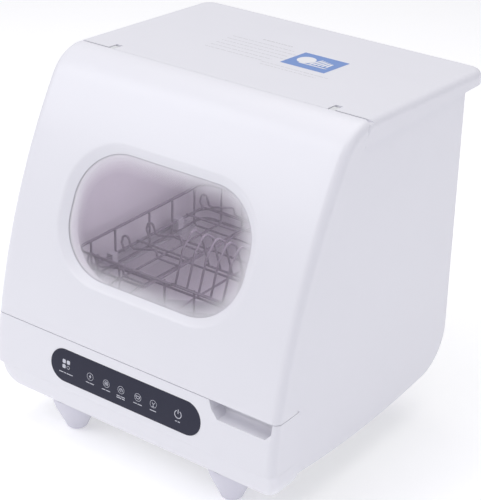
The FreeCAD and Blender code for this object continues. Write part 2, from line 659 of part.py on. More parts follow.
def top_cover():
    chamfer = 7.0
    front_inner = CREST_DEPTH + 0.4
    front = front_inner + 2
    plan = [at(-SLAB_HALF, front + chamfer, SLAB_LOW), at(-SLAB_HALF + chamfer, front, SLAB_LOW),
            at(SLAB_HALF - chamfer, front, SLAB_LOW), at(SLAB_HALF, front + chamfer, SLAB_LOW)]
    nose = box(-EAR_X, EAR_X, front_inner, front_inner + 4, SLAB_LOW, CREST_HEIGHT)
    corner = 20.0
    knee = corner * (1 - math.sqrt(0.5))

    def rear_corner(side):
        return [at(side * SLAB_HALF, SLAB_BACK - corner, SLAB_LOW),
                at(side * (SLAB_HALF - knee), SLAB_BACK - knee, SLAB_LOW),
                at(side * (SLAB_HALF - corner), SLAB_BACK, SLAB_LOW)]

    right = rear_corner(1)
    left = rear_corner(-1)
    edges = [line(plan[0], plan[1]), line(plan[1], plan[2]), line(plan[2], plan[3]), line(plan[3], right[0]),
             arc(*right), line(right[2], left[2]), arc(*left), line(left[0], plan[0])]
    block = Part.Face(Part.Wire(edges)).extrude(Vector(0, 0, 40))

    def under(drop, z_low, d0, d1, half):
        slope_end = CREST_HEIGHT - SLAB_FALL * (d1 - CREST_DEPTH) / (SLAB_BACK - CREST_DEPTH)
        slope_start = CREST_HEIGHT - SLAB_FALL * (d0 - CREST_DEPTH) / (SLAB_BACK - CREST_DEPTH)
        corners = [at(0, d0, z_low), at(0, d0, slope_start - drop), at(0, d1, slope_end - drop), at(0, d1, z_low)]
        return extrude_x([line(a, b) for a, b in zip(corners, corners[1:] + corners[:1])], half)

    block = block.common(under(0, SLAB_LOW, CREST_DEPTH, SLAB_BACK + 1, 300))

    def on_top_rim(edge):
        middle = edge.valueAt((edge.FirstParameter + edge.LastParameter) / 2)
        level = all(v.Point.z > SLAB_LOW + 12 for v in edge.Vertexes)
        rim = abs(middle.x) > SLAB_HALF - 8 or middle.y > SLAB_BACK + SEAM_Y - 8
        upright = abs(edge.Vertexes[0].Point.z - edge.Vertexes[-1].Point.z) > 13
        return level and rim and not upright and middle.y > CREST_DEPTH + 12 + SEAM_Y
    block = block.makeFillet(9.0, edges_near(block, on_top_rim))
    block = block.fuse(nose)
    hollow = under(SHEET, SLAB_LOW - 5, front_inner + 6, BACK_DEPTH - 3, SLAB_HALF - 9)
    rear_hollow = under(SHEET, SLAB_LOW + SHEET, BACK_DEPTH, SLAB_BACK - 10, SLAB_HALF - 12)
    block = block.cut(hollow).cut(rear_hollow)
    for side in (-1, 1):
        middle = side * EAR_X
        cheek = box(middle - 10, middle + 10, front_inner + 2, HINGE_DEPTH + 7, HINGE_HEIGHT - 7, HINGE_HEIGHT + 5)
        slot = box(middle - SLOT_HALF, middle + SLOT_HALF, 150, HINGE_DEPTH + EAR_RADIUS + 0.7, 433, 470)
        pin_hole = rod_x(middle - 9, middle + 9, HINGE_DEPTH, HINGE_HEIGHT, PIN_RADIUS)
        block = block.fuse(cheek).cut(slot).cut(pin_hole)
    for side in (-1, 1):
        block = block.fuse(slab_horn(side))
    lip = box(-EAR_X + 8, EAR_X - 8, CREST_DEPTH - 7, front_inner + 1, CREST_HEIGHT - 6.5, CREST_HEIGHT - 4)
    return block.fuse(lip).removeSplitter()


# ---- tub ----
def tub():
    outer = box(-TUB_HALF, TUB_HALF, 0, TUB_BACK + TUB_WALL, TUB_FLOOR - TUB_WALL, TUB_TOP + TUB_WALL)
    outer = outer.common(behind(RIM_INSET, 100, 300, 400))
    inner_half = TUB_HALF - TUB_WALL
    inner = box(-inner_half, inner_half, 0, TUB_BACK, TUB_FLOOR, TUB_TOP)
    inner = inner.common(behind(RIM_INSET + SHEET, 100, 300, 400))
    upright = edges_near(inner, lambda e: abs(e.Vertexes[0].Point.z - e.Vertexes[-1].Point.z) > 250
                         and e.Vertexes[0].Point.y > TUB_BACK + SEAM_Y - 1)
    inner = inner.makeFillet(18.0, upright)
    rim = band(RIM_INSET, RIM_INSET + SHEET, 152.5, 194)
    rim = rim.cut(box(-300, 300, 152, 300, 0, 600))
    mouth = box(-inner_half + 5, inner_half - 5, 0, 150, 160, 405)
    shell = outer.cut(inner).fuse(rim).cut(mouth)
    for x, depth, radius in ((0, ARM_CENTRE, 9.0), (FILTER_X, FILTER_D, 33.0)):
        shell = shell.cut(rod_z(x, depth, TUB_FLOOR - 5, TUB_FLOOR + 5, radius))
    shell = shell.cut(rod_z(60, 300, TUB_TOP - 1, TUB_TOP + 5, 16))
    return shell.removeSplitter()


def tub_seal():
    ring = band(LINER_IN + 0.6, RIM_INSET, 154, 184).cut(box(-300, 300, 148, 300, 0, 600))
    return ring.cut(box(-175, 175, 0, 147, 159, 408))


def basket_guide(side):
    """Ledge on the tub's side wall that carries the basket."""
    ledge = box(157, TUB_HALF - TUB_WALL, 75, 322, 158, 161)
    web = box(TUB_HALF - TUB_WALL - 3, TUB_HALF - TUB_WALL, 75, 322, 161, 168)
    guide = fused(ledge, web)
    if side < 0:
        guide = guide.mirror(Vector(0, 0, 0), X_AXIS)
    return guide


def sump():
    """Cup under the tub floor that holds the filter, with a port to each pump."""
    cup = rod_z(FILTER_X, FILTER_D, 72, TUB_FLOOR - TUB_WALL, 36).cut(rod_z(FILTER_X, FILTER_D, 75, 130, 33))
    port = rod_x(FILTER_X + 34, PUMP_X - 11.1, FILTER_D, 86, 9)
    drain = rod_y(FILTER_X, FILTER_D + 34, FILTER_D + 82, 84, 8)
    port_bore = rod_x(FILTER_X + 20, FILTER_X + 70, FILTER_D, 86, 7)
    drain_bore = rod_y(FILTER_X, FILTER_D + 20, FILTER_D + 90, 84, 6)
    return fused(cup, port, drain).cut(port_bore).cut(drain_bore)


def filter_plate():
    plate = rod_z(FILTER_X, FILTER_D, TUB_FLOOR, TUB_FLOOR + 1.2, 42)
    plate = plate.cut(rod_z(FILTER_X, FILTER_D, TUB_FLOOR - 1, TUB_FLOOR + 5, 28.4))
    for step in range(24):
        angle = math.radians(step * 15)
        x = FILTER_X + 35 * math.cos(angle)
        depth = FILTER_D + 35 * math.sin(angle)
        plate = plate.cut(rod_z(x, depth, TUB_FLOOR - 1, TUB_FLOOR + 5, 2.0))
    return plate


def filter_cup():
    """Twist-out coarse filter with a bar handle and slotted wall."""
    wall = rod_z(FILTER_X, FILTER_D, 79, TUB_FLOOR + 4, 28).cut(rod_z(FILTER_X, FILTER_D, 82, 140, 25.5))
    handle = box(FILTER_X - 26, FILTER_X + 26, FILTER_D - 2, FILTER_D + 2, TUB_FLOOR - 2, TUB_FLOOR + 10)
    for step in range(16):
        angle = step * 22.5
        slot = box(FILTER_X + 20, FILTER_X + 32, FILTER_D - 1.5, FILTER_D + 1.5, 86, 110)
        slot.rotate(at(FILTER_X, FILTER_D, 0), Z_AXIS, angle + 11.25)
        wall = wall.cut(slot)
    return fused(wall, handle)


def spray_post():
    flange = rod_z(0, ARM_CENTRE, TUB_FLOOR, TUB_FLOOR + 3, 22)
    stem = rod_z(0, ARM_CENTRE, TUB_FLOOR - 20, TUB_FLOOR + 21.9, 8.9)
    spindle = rod_z(0, ARM_CENTRE, TUB_FLOOR + 21.9, TUB_FLOOR + 34, 5.0)
    flow = rod_z(0, ARM_CENTRE, TUB_FLOOR - 21, TUB_FLOOR + 20, 6.5)
    return fused(flange, stem, spindle).cut(flow)


ARM_LOW = TUB_FLOOR + 14


def spray_arm():
    """Two tapered blades on a hub, with a row of jets along each."""
    hub = rod_z(0, ARM_CENTRE, ARM_LOW - 6, ARM_LOW + 12, 15)
    arm = hub
    for turn in (0, 180):
        tip = rod_z(ARM_REACH - 14, ARM_CENTRE, ARM_LOW, ARM_LOW + 9, 12)
        points = [at(0, ARM_CENTRE - 15, ARM_LOW), at(ARM_REACH - 14, ARM_CENTRE - 12, ARM_LOW),
                  at(ARM_REACH - 14, ARM_CENTRE + 12, ARM_LOW), at(0, ARM_CENTRE + 15, ARM_LOW)]
        blade = Part.Face(Part.makePolygon(points + points[:1])).extrude(Vector(0, 0, 9))
        blade = fused(blade, tip)
        for index in range(6):
            reach = 35 + index * 18
            offset = 4 if index % 2 else -4
            blade = blade.cut(rod_z(reach, ARM_CENTRE + offset, ARM_LOW + 7, ARM_LOW + 12, 1.4))
        blade.rotate(at(0, ARM_CENTRE, 0), Z_AXIS, turn + 28)
        arm = arm.fuse(blade)
    arm = arm.removeSplitter().cut(rod_z(0, ARM_CENTRE, ARM_LOW - 10, ARM_LOW + 8, 8.96))
    return arm.cut(rod_z(0, ARM_CENTRE, ARM_LOW - 10, ARM_LOW + 20, 5.06))


def spray_arm_nut():
    top = TUB_FLOOR + 34
    cap = Part.makeCone(9, 6, 7, at(0, ARM_CENTRE, ARM_LOW + 12.1), Z_AXIS)
    cap = cap.cut(rod_z(0, ARM_CENTRE, ARM_LOW, top, 5.06))
    return cap


# ---- machinery under the tub ----
PUMP_X = -32.0
PUMP_D = FILTER_D
PUMP_Z = 86.0


def wash_pump_body():
    volute = rod_x(PUMP_X - 11, PUMP_X + 14, PUMP_D, PUMP_Z, 24)
    volute = volute.cut(rod_x(PUMP_X - 8, PUMP_X + 11, PUMP_D, PUMP_Z, 21))
    inlet = rod_x(PUMP_X - 11.1, PUMP_X - 7, PUMP_D, PUMP_Z, 9.5)
    outlet = rod_y(PUMP_X, PUMP_D + 18, PUMP_D + 60, PUMP_Z + 14, 7)
    bore = rod_y(PUMP_X, PUMP_D + 10, PUMP_D + 61, PUMP_Z + 14, 5.5)
    shaft_hole = rod_x(PUMP_X + 10, PUMP_X + 15, PUMP_D, PUMP_Z, 3.0)
    body = fused(volute, inlet, outlet).cut(bore).cut(shaft_hole)
    return body.cut(rod_x(PUMP_X - 12, PUMP_X - 6, PUMP_D, PUMP_Z, 7.2))


def wash_pump_motor():
    can = rod_x(PUMP_X + 14, PUMP_X + 78, PUMP_D, PUMP_Z, 23)
    boss = rod_x(PUMP_X + 78, PUMP_X + 84, PUMP_D, PUMP_Z, 12)
    pad = box(PUMP_X + 24, PUMP_X + 66, PUMP_D - 14, PUMP_D + 14, 62.0, PUMP_Z - 18)
    hole = rod_x(PUMP_X + 13, PUMP_X + 30, PUMP_D, PUMP_Z, 2.56)
    return fused(can, boss, pad).cut(hole)


def vaned_wheel(axis_x, axis_d, axis_z, along, length, radius, bore_out, count):
    """Hub with straight vanes about the X or Z axis."""
    direction = X_AXIS if along == "x" else Z_AXIS
    start = at(axis_x, axis_d, axis_z)
    wheel = Part.makeCylinder(radius * 0.32, length, start, direction)
    disc = Part.makeCylinder(radius, 1.6, start, direction)
    wheel = wheel.fuse(disc)
    for step in range(count):
        if along == "x":
            vane = box(axis_x, axis_x + length, axis_d - 0.7, axis_d + 0.7, axis_z, axis_z + radius - 0.3)
        else:
            vane = box(axis_x, axis_x + radius - 0.3, axis_d - 0.7, axis_d + 0.7, axis_z, axis_z + length)
        vane.rotate(start, direction, step * 360.0 / count)
        wheel = wheel.fuse(vane)
    shaft = Part.makeCylinder(2.5, bore_out, start + direction * length * 0.5, direction)
    return wheel.fuse(shaft).removeSplitter()


def wash_impeller():
    return vaned_wheel(PUMP_X - 6, PUMP_D, PUMP_Z, "x", 14, 19, 25, 6)


def heater():
    """Flow-through heater in the line between the pump and the spray post."""
    can = rod_y(PUMP_X, PUMP_D + 60, PUMP_D + 130, PUMP_Z + 14, 11)
    bore = rod_y(PUMP_X, PUMP_D + 59, PUMP_D + 131, PUMP_Z + 14, 7.5)
    tabs = [box(PUMP_X - 3, PUMP_X + 3, depth, depth + 2, PUMP_Z - 4, PUMP_Z + 5) for depth in (164, 212)]
    return fused(can, *tabs).cut(bore)


def wash_pipe():
    """Bent pipe from the heater to the foot of the spray post."""
    points = [at(PUMP_X, PUMP_D + 130, PUMP_Z + 14), at(PUMP_X, PUMP_D + 152, PUMP_Z + 14),
              at(0, PUMP_D + 152, PUMP_Z + 4), at(0, ARM_CENTRE, PUMP_Z + 4)]
    run = bent_wire(points, 7.0, 10.0)
    riser = rod_z(0, ARM_CENTRE, PUMP_Z - 4, TUB_FLOOR - 20, 7.5)
    return fused(run, riser)


def drain_pump_body():
    start = FILTER_D + 82
    volute = rod_y(FILTER_X, start, start + 18, 84, 19).cut(rod_y(FILTER_X, start + 3, start + 15, 84, 16))
    volute = volute.cut(rod_y(FILTER_X, start - 1, start + 4, 84, 6))
    volute = volute.cut(rod_y(FILTER_X, start + 14, start + 19, 84, 2.6))
    can = rod_y(FILTER_X, start + 18, start + 62, 84, 20).cut(rod_y(FILTER_X, start + 17, start + 34, 84, 2.56))
    foot = box(FILTER_X - 12, FILTER_X + 12, start + 26, start + 54, 59.6, 67)
    port = rod_x(FILTER_X - 26, FILTER_X - 8, start + 9, 98, 7).cut(rod_y(FILTER_X, start, start + 18, 84, 18))
    return fused(volute, can, foot, port).cut(rod_x(FILTER_X - 27, FILTER_X - 6, start + 9, 98, 5))


def drain_impeller():
    start = FILTER_D + 82 + 4.5
    wheel = rod_y(FILTER_X, start, start + 9, 84, 4.5)
    for step in range(4):
        vane = box(FILTER_X - 0.8, FILTER_X + 0.8, start, start + 9, 84, 84 + 14.5)
        vane.rotate(at(FILTER_X, 0, 84), Y_AXIS, step * 90)
        wheel = wheel.fuse(vane)
    return wheel.fuse(rod_y(FILTER_X, start + 4, start + 28, 84, 2.5)).removeSplitter()


def drain_pipe():
    """Bent pipe from the drain pump up to the spigot."""
    start = FILTER_D + 82
    points = [at(FILTER_X - 26, start + 9, 98), at(FILTER_X - 42, start + 9, 98),
              at(FILTER_X - 42, ELBOW_DEPTH, 110), at(DRAIN_X - 6.4, ELBOW_DEPTH, 110)]
    return bent_wire(points, 5.0, 11.0)


def control_board():
    board = box(40, 170, 186, 286, 70, 71.6)
    posts = [rod_z(x, depth, low, 70, 3) for x in (46, 164) for depth, low in ((192, 58.4), (280, 62.2))]
    parts = [box(55, 85, 201, 231, 71.6, 92), box(95, 120, 206, 218, 71.6, 84), box(130, 160, 196, 226, 71.6, 80),
             box(60, 110, 251, 271, 71.6, 76), rod_z(140, 256, 71.6, 92, 9), rod_z(120, 246, 71.6, 88, 6)]
    return fused(board, *(posts + parts))


# ---- drying fan on the tub ----
FAN_X = 120.0
FAN_D = 250.0
FAN_LOW = TUB_TOP + TUB_WALL


def fan_housing():
    scroll = rod_z(FAN_X, FAN_D, FAN_LOW, FAN_LOW + 22, 36)
    nozzle = box(FAN_X - 60, FAN_X, FAN_D + 12, FAN_D + 36, FAN_LOW, FAN_LOW + 22)
    hollow = rod_z(FAN_X, FAN_D, FAN_LOW + 2, FAN_LOW + 20, 33)
    channel = box(FAN_X - 70, FAN_X, FAN_D + 14, FAN_D + 33, FAN_LOW + 2, FAN_LOW + 20)
    intake = rod_z(FAN_X, FAN_D, FAN_LOW + 18, FAN_LOW + 30, 18)
    spindle = rod_z(FAN_X, FAN_D, FAN_LOW + 1, FAN_LOW + 14, 2.0)
    return fused(scroll, nozzle).cut(hollow).cut(channel).cut(intake).fuse(spindle)


def fan_rotor():
    base = FAN_LOW + 4
    rotor = rod_z(FAN_X, FAN_D, base, base + 1.5, 29)
    rotor = rotor.fuse(rod_z(FAN_X, FAN_D, base, base + 12, 8))
    for step in range(18):
        vane = box(FAN_X + 21, FAN_X + 28.5, FAN_D - 0.6, FAN_D + 0.6, base, base + 13)
        vane.rotate(at(FAN_X, FAN_D, 0), Z_AXIS, step * 20)
        rotor = rotor.fuse(vane)
    return rotor.removeSplitter().cut(rod_z(FAN_X, FAN_D, base - 1, base + 20, 2.06))


def dry_duct():
    """Elbow from the fan's nozzle down into the tub's ceiling."""
    duct = box(FAN_X - 82, FAN_X - 60, FAN_D + 12, FAN_D + 66, FAN_LOW, FAN_LOW + 21)
    hollow = box(FAN_X - 80, FAN_X - 59, FAN_D + 14, FAN_D + 64, FAN_LOW - 1, FAN_LOW + 19)
    return duct.cut(hollow)


# ---- feet ----
def foot(side, depth):
    """Flared foot with a rounded tip."""
    top = CHIN_HEIGHT
    outline = [line(Vector(0, 0, 0), Vector(7, 0, 0)), arc(Vector(7, 0, 0), Vector(12, 1.8, 0), Vector(14.5, 6, 0)),
               line(Vector(14.5, 6, 0), Vector(26, 31, 0)),
               arc(Vector(26, 31, 0), Vector(28.2, 38, 0), Vector(29, top, 0)),
               line(Vector(29, top, 0), Vector(0, top, 0)), line(Vector(0, top, 0), Vector(0, 0, 0))]
    turned = Part.Face(Part.Wire(outline)).revolve(Vector(0, 0, 0), Vector(0, 1, 0), 360)
    turned.rotate(Vector(0, 0, 0), X_AXIS, 90)
    turned.translate(at(side * FOOT_X, depth, 0))
    return turned.cut(rod_z(side * FOOT_X, depth, top - 18, top + 1, 4.0))


def foot_studs():
    studs = []
    for side in (-1, 1):
        for depth, top in ((FOOT_FRONT, CHIN_HEIGHT + 3), (FOOT_REAR, 68)):
            stud = rod_z(side * FOOT_X, depth, CHIN_HEIGHT - 16, top + 5, 4.0)
            nut = rod_z(side * FOOT_X, depth, top + 0.02, top + 5, 8.0)
            studs.append(fused(stud, nut))
    return Part.makeCompound(studs)


# ---- dish basket ----
def rail_loop(z, radius, inset):
    half = BASKET_HALF - inset
    points = [at(-half, BASKET_FRONT + inset, z), at(half, BASKET_FRONT + inset, z),
              at(half, BASKET_BACK - inset, z), at(-half, BASKET_BACK - inset, z)]
    start = at(0, BASKET_FRONT + inset, z)
    loop = [start] + points[1:] + points[:1] + [start]
    path = wire_path(loop, 16.0)
    ring = Part.Wire(Part.makeCircle(radius, start, X_AXIS))
    solid = path.makePipeShell([ring], False, False)
    return Part.Solid(Part.Shell(solid.Faces))


def basket_rails():
    return Part.makeCompound([rail_loop(BASKET_TOP, WIRE, 0), rail_loop(BASKET_MID, WIRE, 0),
                              rail_loop(BASKET_LOW, WIRE, 0)])


CROSS_DEPTHS = (105.0, 150.0, 216.0, 262.0, 308.0)
LONG_X = (-118.0, -84.0, -14.0, 30.0, 84.0, 118.0)


def basket_cross_wires():
    """U-shaped wires: up the left side, across the floor, up the right side."""
    inner = BASKET_HALF - WIRE - THIN_WIRE - 0.05
    floor = BASKET_LOW - 2
    wires = []
    for depth in CROSS_DEPTHS:
        points = [at(-inner, depth, BASKET_TOP + 1), at(-inner, depth, floor), at(inner, depth, floor),
                  at(inner, depth, BASKET_TOP + 1)]
        wires.append(bent_wire(points, THIN_WIRE, 6.0))
    return Part.makeCompound(wires)


def basket_long_wires():
    """U-shaped wires: up the front, along the floor, up the back."""
    inset = WIRE + THIN_WIRE + 0.05
    floor = BASKET_LOW - 2 + 2 * THIN_WIRE + 0.05
    wires = []
    for x in LONG_X:
        points = [at(x, BASKET_FRONT + inset, BASKET_TOP + 1), at(x, BASKET_FRONT + inset, floor),
                  at(x, BASKET_BACK - inset, floor), at(x, BASKET_BACK - inset, BASKET_TOP + 1)]
        wires.append(bent_wire(points, THIN_WIRE, 6.0))
    return Part.makeCompound(wires)


HOOP_X = [-50.0 + 18.2 * step for step in range(8)]


def plate_rack():
    """Row of wire hoops that hold plates on edge, each leaning back."""
    bar_z = BASKET_LOW - 2 + 4 * THIN_WIRE + 0.15
    base = bar_z + THIN_WIRE + 0.7
    hoops = []
    for x in HOOP_X:
        points = [at(x, 150, base), at(x, 183, base + 61), at(x, 206, base + 39), at(x, 216, base)]
        hoops.append(bent_wire(points, THIN_WIRE, 7.0))
    bars = [rod_x(HOOP_X[0] - 6, HOOP_X[-1] + 6, depth, bar_z, THIN_WIRE) for depth in (150.0, 216.0)]
    return Part.makeCompound(hoops + bars)


def basket_slides():
    """Four plastic runners clipped under the basket's lowest rail."""
    runners = []
    for side in (-1, 1):
        for depth in (115, 295):
            block = box(min(side * 150, side * 168), max(side * 150, side * 168), depth - 9, depth + 9, 161.4, 176)
            groove = rod_y(side * BASKET_HALF, depth - 10, depth + 10, BASKET_LOW, WIRE + 0.02)
            runners.append(block.cut(groove))
    return Part.makeCompound(runners)


SHELF_HINGE_X = -BASKET_HALF + 7.5
SHELF_Z = BASKET_MID + 5.5
SHELF_INNER_X = -57.0
SHELF_FRONT = 98.0
SHELF_BACK = 322.0


def cup_shelf():
    """Folding wire shelf: a frame with cup hooks along its hinge side."""
    frame_points = [at(SHELF_HINGE_X, 210, SHELF_Z), at(SHELF_HINGE_X, SHELF_FRONT, SHELF_Z),
                    at(SHELF_INNER_X, SHELF_FRONT, SHELF_Z), at(SHELF_INNER_X, SHELF_BACK, SHELF_Z),
                    at(SHELF_HINGE_X, SHELF_BACK, SHELF_Z), at(SHELF_HINGE_X, 210.5, SHELF_Z)]
    wires = [bent_wire(frame_points, THIN_WIRE, 8.0)]
    lift = 2 * THIN_WIRE + 0.03
    for depth in (187.0, 287.0):
        wires.append(rod_x(SHELF_HINGE_X, SHELF_INNER_X, depth, SHELF_Z + lift, THIN_WIRE))
    for depth in (98.0, 161.0, 209.0, 319.0):
        top = SHELF_Z + 22
        points = [at(SHELF_HINGE_X + 8, depth - 7, SHELF_Z + lift), at(SHELF_HINGE_X + 3, depth - 4, top - 8),
                  at(SHELF_HINGE_X + 6, depth, top), at(SHELF_HINGE_X + 50, depth, top),
                  at(SHELF_HINGE_X + 52, depth, SHELF_Z + lift), at(SHELF_INNER_X + 1, depth + 3, SHELF_Z + lift)]
        wires.append(bent_wire(points, THIN_WIRE, 3.2))
    return Part.makeCompound(wires)


def shelf_clips():
    """Plastic clips on the middle rail that the shelf's frame turns in."""
    clips = []
    for depth in (140.0, 270.0):
        plate = box(-BASKET_HALF + 2.1, SHELF_HINGE_X + 4, depth - 5, depth + 5, BASKET_MID - 5, SHELF_Z + 3.5)
        hole = rod_y(SHELF_HINGE_X, depth - 6, depth + 6, SHELF_Z, THIN_WIRE + 0.08)
        clips.append(plate.cut(hole))
    return Part.makeCompound(clips)


# ---- all sub-parts ----
NODES = {
    "door_skin": door_skin, "door_window": door_window, "window_seal": window_seal, "door_liner": door_liner,
    "door_screws": door_screws, "strike_plate": strike_plate, "catch_magnet": catch_magnet,
    "hinge_ear_left": lambda: hinge_ear(-1), "hinge_ear_right": lambda: hinge_ear(1),
    "hinge_pin_left": lambda: hinge_pin(-1), "hinge_pin_right": lambda: hinge_pin(1),
    "control_panel": control_panel, "grip_pocket": grip_pocket, "display_lens": display_lens, "touch_board": touch_board,
    "front_base": front_base, "base_tray": base_tray,
    "side_panel_left": lambda: side_panel(-1), "side_panel_right": lambda: side_panel(1),
    "rear_panel": rear_panel, "rear_screws": rear_screws, "inlet_valve": inlet_valve,
    "drain_spigot": drain_spigot, "power_inlet": power_inlet, "top_cover": top_cover,
    "tub": tub, "tub_seal": tub_seal,
    "basket_guide_left": lambda: basket_guide(-1), "basket_guide_right": lambda: basket_guide(1),
    "sump": sump, "filter_plate": filter_plate, "filter_cup": filter_cup,
    "spray_post": spray_post, "spray_arm": spray_arm, "spray_arm_nut": spray_arm_nut,
    "wash_pump_body": wash_pump_body, "wash_pump_motor": wash_pump_motor, "wash_impeller": wash_impeller,
    "heater": heater, "wash_pipe": wash_pipe,
    "drain_pump": drain_pump_body, "drain_impeller": drain_impeller, "drain_pipe": drain_pipe,
    "control_board": control_board, "fan_housing": fan_housing, "fan_rotor": fan_rotor, "dry_duct": dry_duct,
    "foot_front_left": lambda: foot(-1, FOOT_FRONT), "foot_front_right": lambda: foot(1, FOOT_FRONT),
    "foot_rear_left": lambda: foot(-1, FOOT_REAR), "foot_rear_right": lambda: foot(1, FOOT_REAR),
    "foot_studs": foot_studs,
    "basket_rails": basket_rails, "basket_cross_wires": basket_cross_wires,
    "basket_long_wires": basket_long_wires, "plate_rack": plate_rack, "basket_slides": basket_slides,
    "cup_shelf": cup_shelf, "shelf_clips": shelf_clips,
}

os.makedirs("parts", exist_ok=True)
for name, make in NODES.items():
    shape = make()
    print(name, "valid" if shape.isValid() else "INVALID", len(shape.Solids), "solids",
          round(shape.Volume / 1000, 2), "cm3")
    shape.exportStep("parts/" + name + ".step")
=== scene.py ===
import json
import math
import random

import bmesh
import bpy
from mathutils import Matrix, Vector


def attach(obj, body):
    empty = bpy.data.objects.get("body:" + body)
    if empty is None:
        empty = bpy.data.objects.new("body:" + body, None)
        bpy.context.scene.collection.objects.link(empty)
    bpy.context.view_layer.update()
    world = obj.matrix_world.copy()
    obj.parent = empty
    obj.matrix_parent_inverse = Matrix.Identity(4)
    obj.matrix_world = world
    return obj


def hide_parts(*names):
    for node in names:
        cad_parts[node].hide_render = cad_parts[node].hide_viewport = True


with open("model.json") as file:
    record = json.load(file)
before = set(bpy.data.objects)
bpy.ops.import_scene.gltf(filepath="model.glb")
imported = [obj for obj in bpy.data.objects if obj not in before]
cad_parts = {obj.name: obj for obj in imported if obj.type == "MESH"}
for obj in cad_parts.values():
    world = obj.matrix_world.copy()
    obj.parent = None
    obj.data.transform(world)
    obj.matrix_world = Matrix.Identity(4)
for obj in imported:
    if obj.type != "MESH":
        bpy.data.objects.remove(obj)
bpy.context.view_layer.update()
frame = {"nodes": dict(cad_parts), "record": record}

# Countertop dishwasher with a flip-up windowed door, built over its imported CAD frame.
# Lengths below are millimetres; at() turns them into metres in the row frame.
MM = 0.001
SEAM_Y = -205.7


def at(x, depth, z):
    """Row-frame point from x, depth behind the door seam, and height."""
    return Vector((x, depth + SEAM_Y, z)) * MM


# ---------------------------------------------------------------- node helpers
def add(tree, kind, label=None, **settings):
    node = tree.nodes.new(kind)
    if label:
        node.label = label
    for key, value in settings.items():
        setattr(node, key, value)
    return node


def wire_in(tree, target, source):
    """Sets a socket to a value, or links it to another socket."""
    if isinstance(source, bpy.types.NodeSocket):
        tree.links.new(source, target)
    else:
        target.default_value = source


def make_group(name, kind, inputs, outputs):
    group = bpy.data.node_groups.new(name, kind)
    for label, socket, value in inputs:
        item = group.interface.new_socket(label, in_out="INPUT", socket_type=socket)
        if value is not None:
            item.default_value = value
    for label, socket in outputs:
        group.interface.new_socket(label, in_out="OUTPUT", socket_type=socket)
    return group, group.nodes.new("NodeGroupInput"), group.nodes.new("NodeGroupOutput")


def maths(tree, operation, a, b=0.0, clamp=False):
    node = add(tree, "ShaderNodeMath", operation=operation, use_clamp=clamp)
    wire_in(tree, node.inputs[0], a)
    wire_in(tree, node.inputs[1], b)
    return node.outputs[0]


def noise(tree, vector, scale, detail=2.0, rough=0.5):
    node = add(tree, "ShaderNodeTexNoise")
    wire_in(tree, node.inputs["Vector"], vector)
    wire_in(tree, node.inputs["Scale"], scale)
    node.inputs["Detail"].default_value = detail
    node.inputs["Roughness"].default_value = rough
    return node.outputs["Fac"]


def blend_colours(tree, factor, a, b, mode="MIX"):
    node = add(tree, "ShaderNodeMix", data_type="RGBA", blend_type=mode)
    wire_in(tree, node.inputs[0], factor)
    wire_in(tree, node.inputs[6], a)
    wire_in(tree, node.inputs[7], b)
    return node.outputs[2]


def stretch(tree, vector, scale):
    node = add(tree, "ShaderNodeMapping")
    wire_in(tree, node.inputs["Vector"], vector)
    node.inputs["Scale"].default_value = scale
    return node.outputs[0]


def levels(tree, value, low, high, out_low=0.0, out_high=1.0):
    node = add(tree, "ShaderNodeMapRange")
    wire_in(tree, node.inputs[0], value)
    for index, number in enumerate((low, high, out_low, out_high)):
        node.inputs[index + 1].default_value = number
    return node.outputs[0]


VALUE, COLOUR, VECTOR = "NodeSocketFloat", "NodeSocketColor", "NodeSocketVector"


# ---------------------------------------------------------------- shared surface effects
def moulded_surface_group():
    """Injection-moulded plastic: faint colour clouding, uneven gloss and a fine pebble."""
    tree, inside, out = make_group(
        "moulded_surface", "ShaderNodeTree",
        [("Vector", VECTOR, None), ("Base", COLOUR, (0.8, 0.8, 0.8, 1)),
         ("Cloud", COLOUR, (0.7, 0.7, 0.7, 1)), ("Roughness", VALUE, 0.4), ("Spread", VALUE, 0.1),
         ("Pebble Size", VALUE, 600.0)],
        [("Colour", COLOUR), ("Roughness", VALUE), ("Height", VALUE)])
    vector = inside.outputs["Vector"]
    cloud = levels(tree, noise(tree, vector, 7.0, 3.0), 0.35, 0.7)
    flow = noise(tree, stretch(tree, vector, (3.0, 9.0, 3.0)), 4.0, 2.0)
    mask = maths(tree, "MULTIPLY", cloud, flow)
    clouded = blend_colours(tree, mask, inside.outputs["Base"], inside.outputs["Cloud"])
    wire_in(tree, out.inputs["Colour"], clouded)
    smudge = maths(tree, "SUBTRACT", noise(tree, vector, 24.0, 5.0, 0.6), 0.5)
    uneven = maths(tree, "MULTIPLY", smudge, inside.outputs["Spread"])
    wire_in(tree, out.inputs["Roughness"], maths(tree, "ADD", inside.outputs["Roughness"], uneven, True))
    pebble = noise(tree, vector, inside.outputs["Pebble Size"], 2.0)
    wire_in(tree, out.inputs["Height"], maths(tree, "ADD", pebble, noise(tree, vector, 45.0, 1.0)))
    return tree


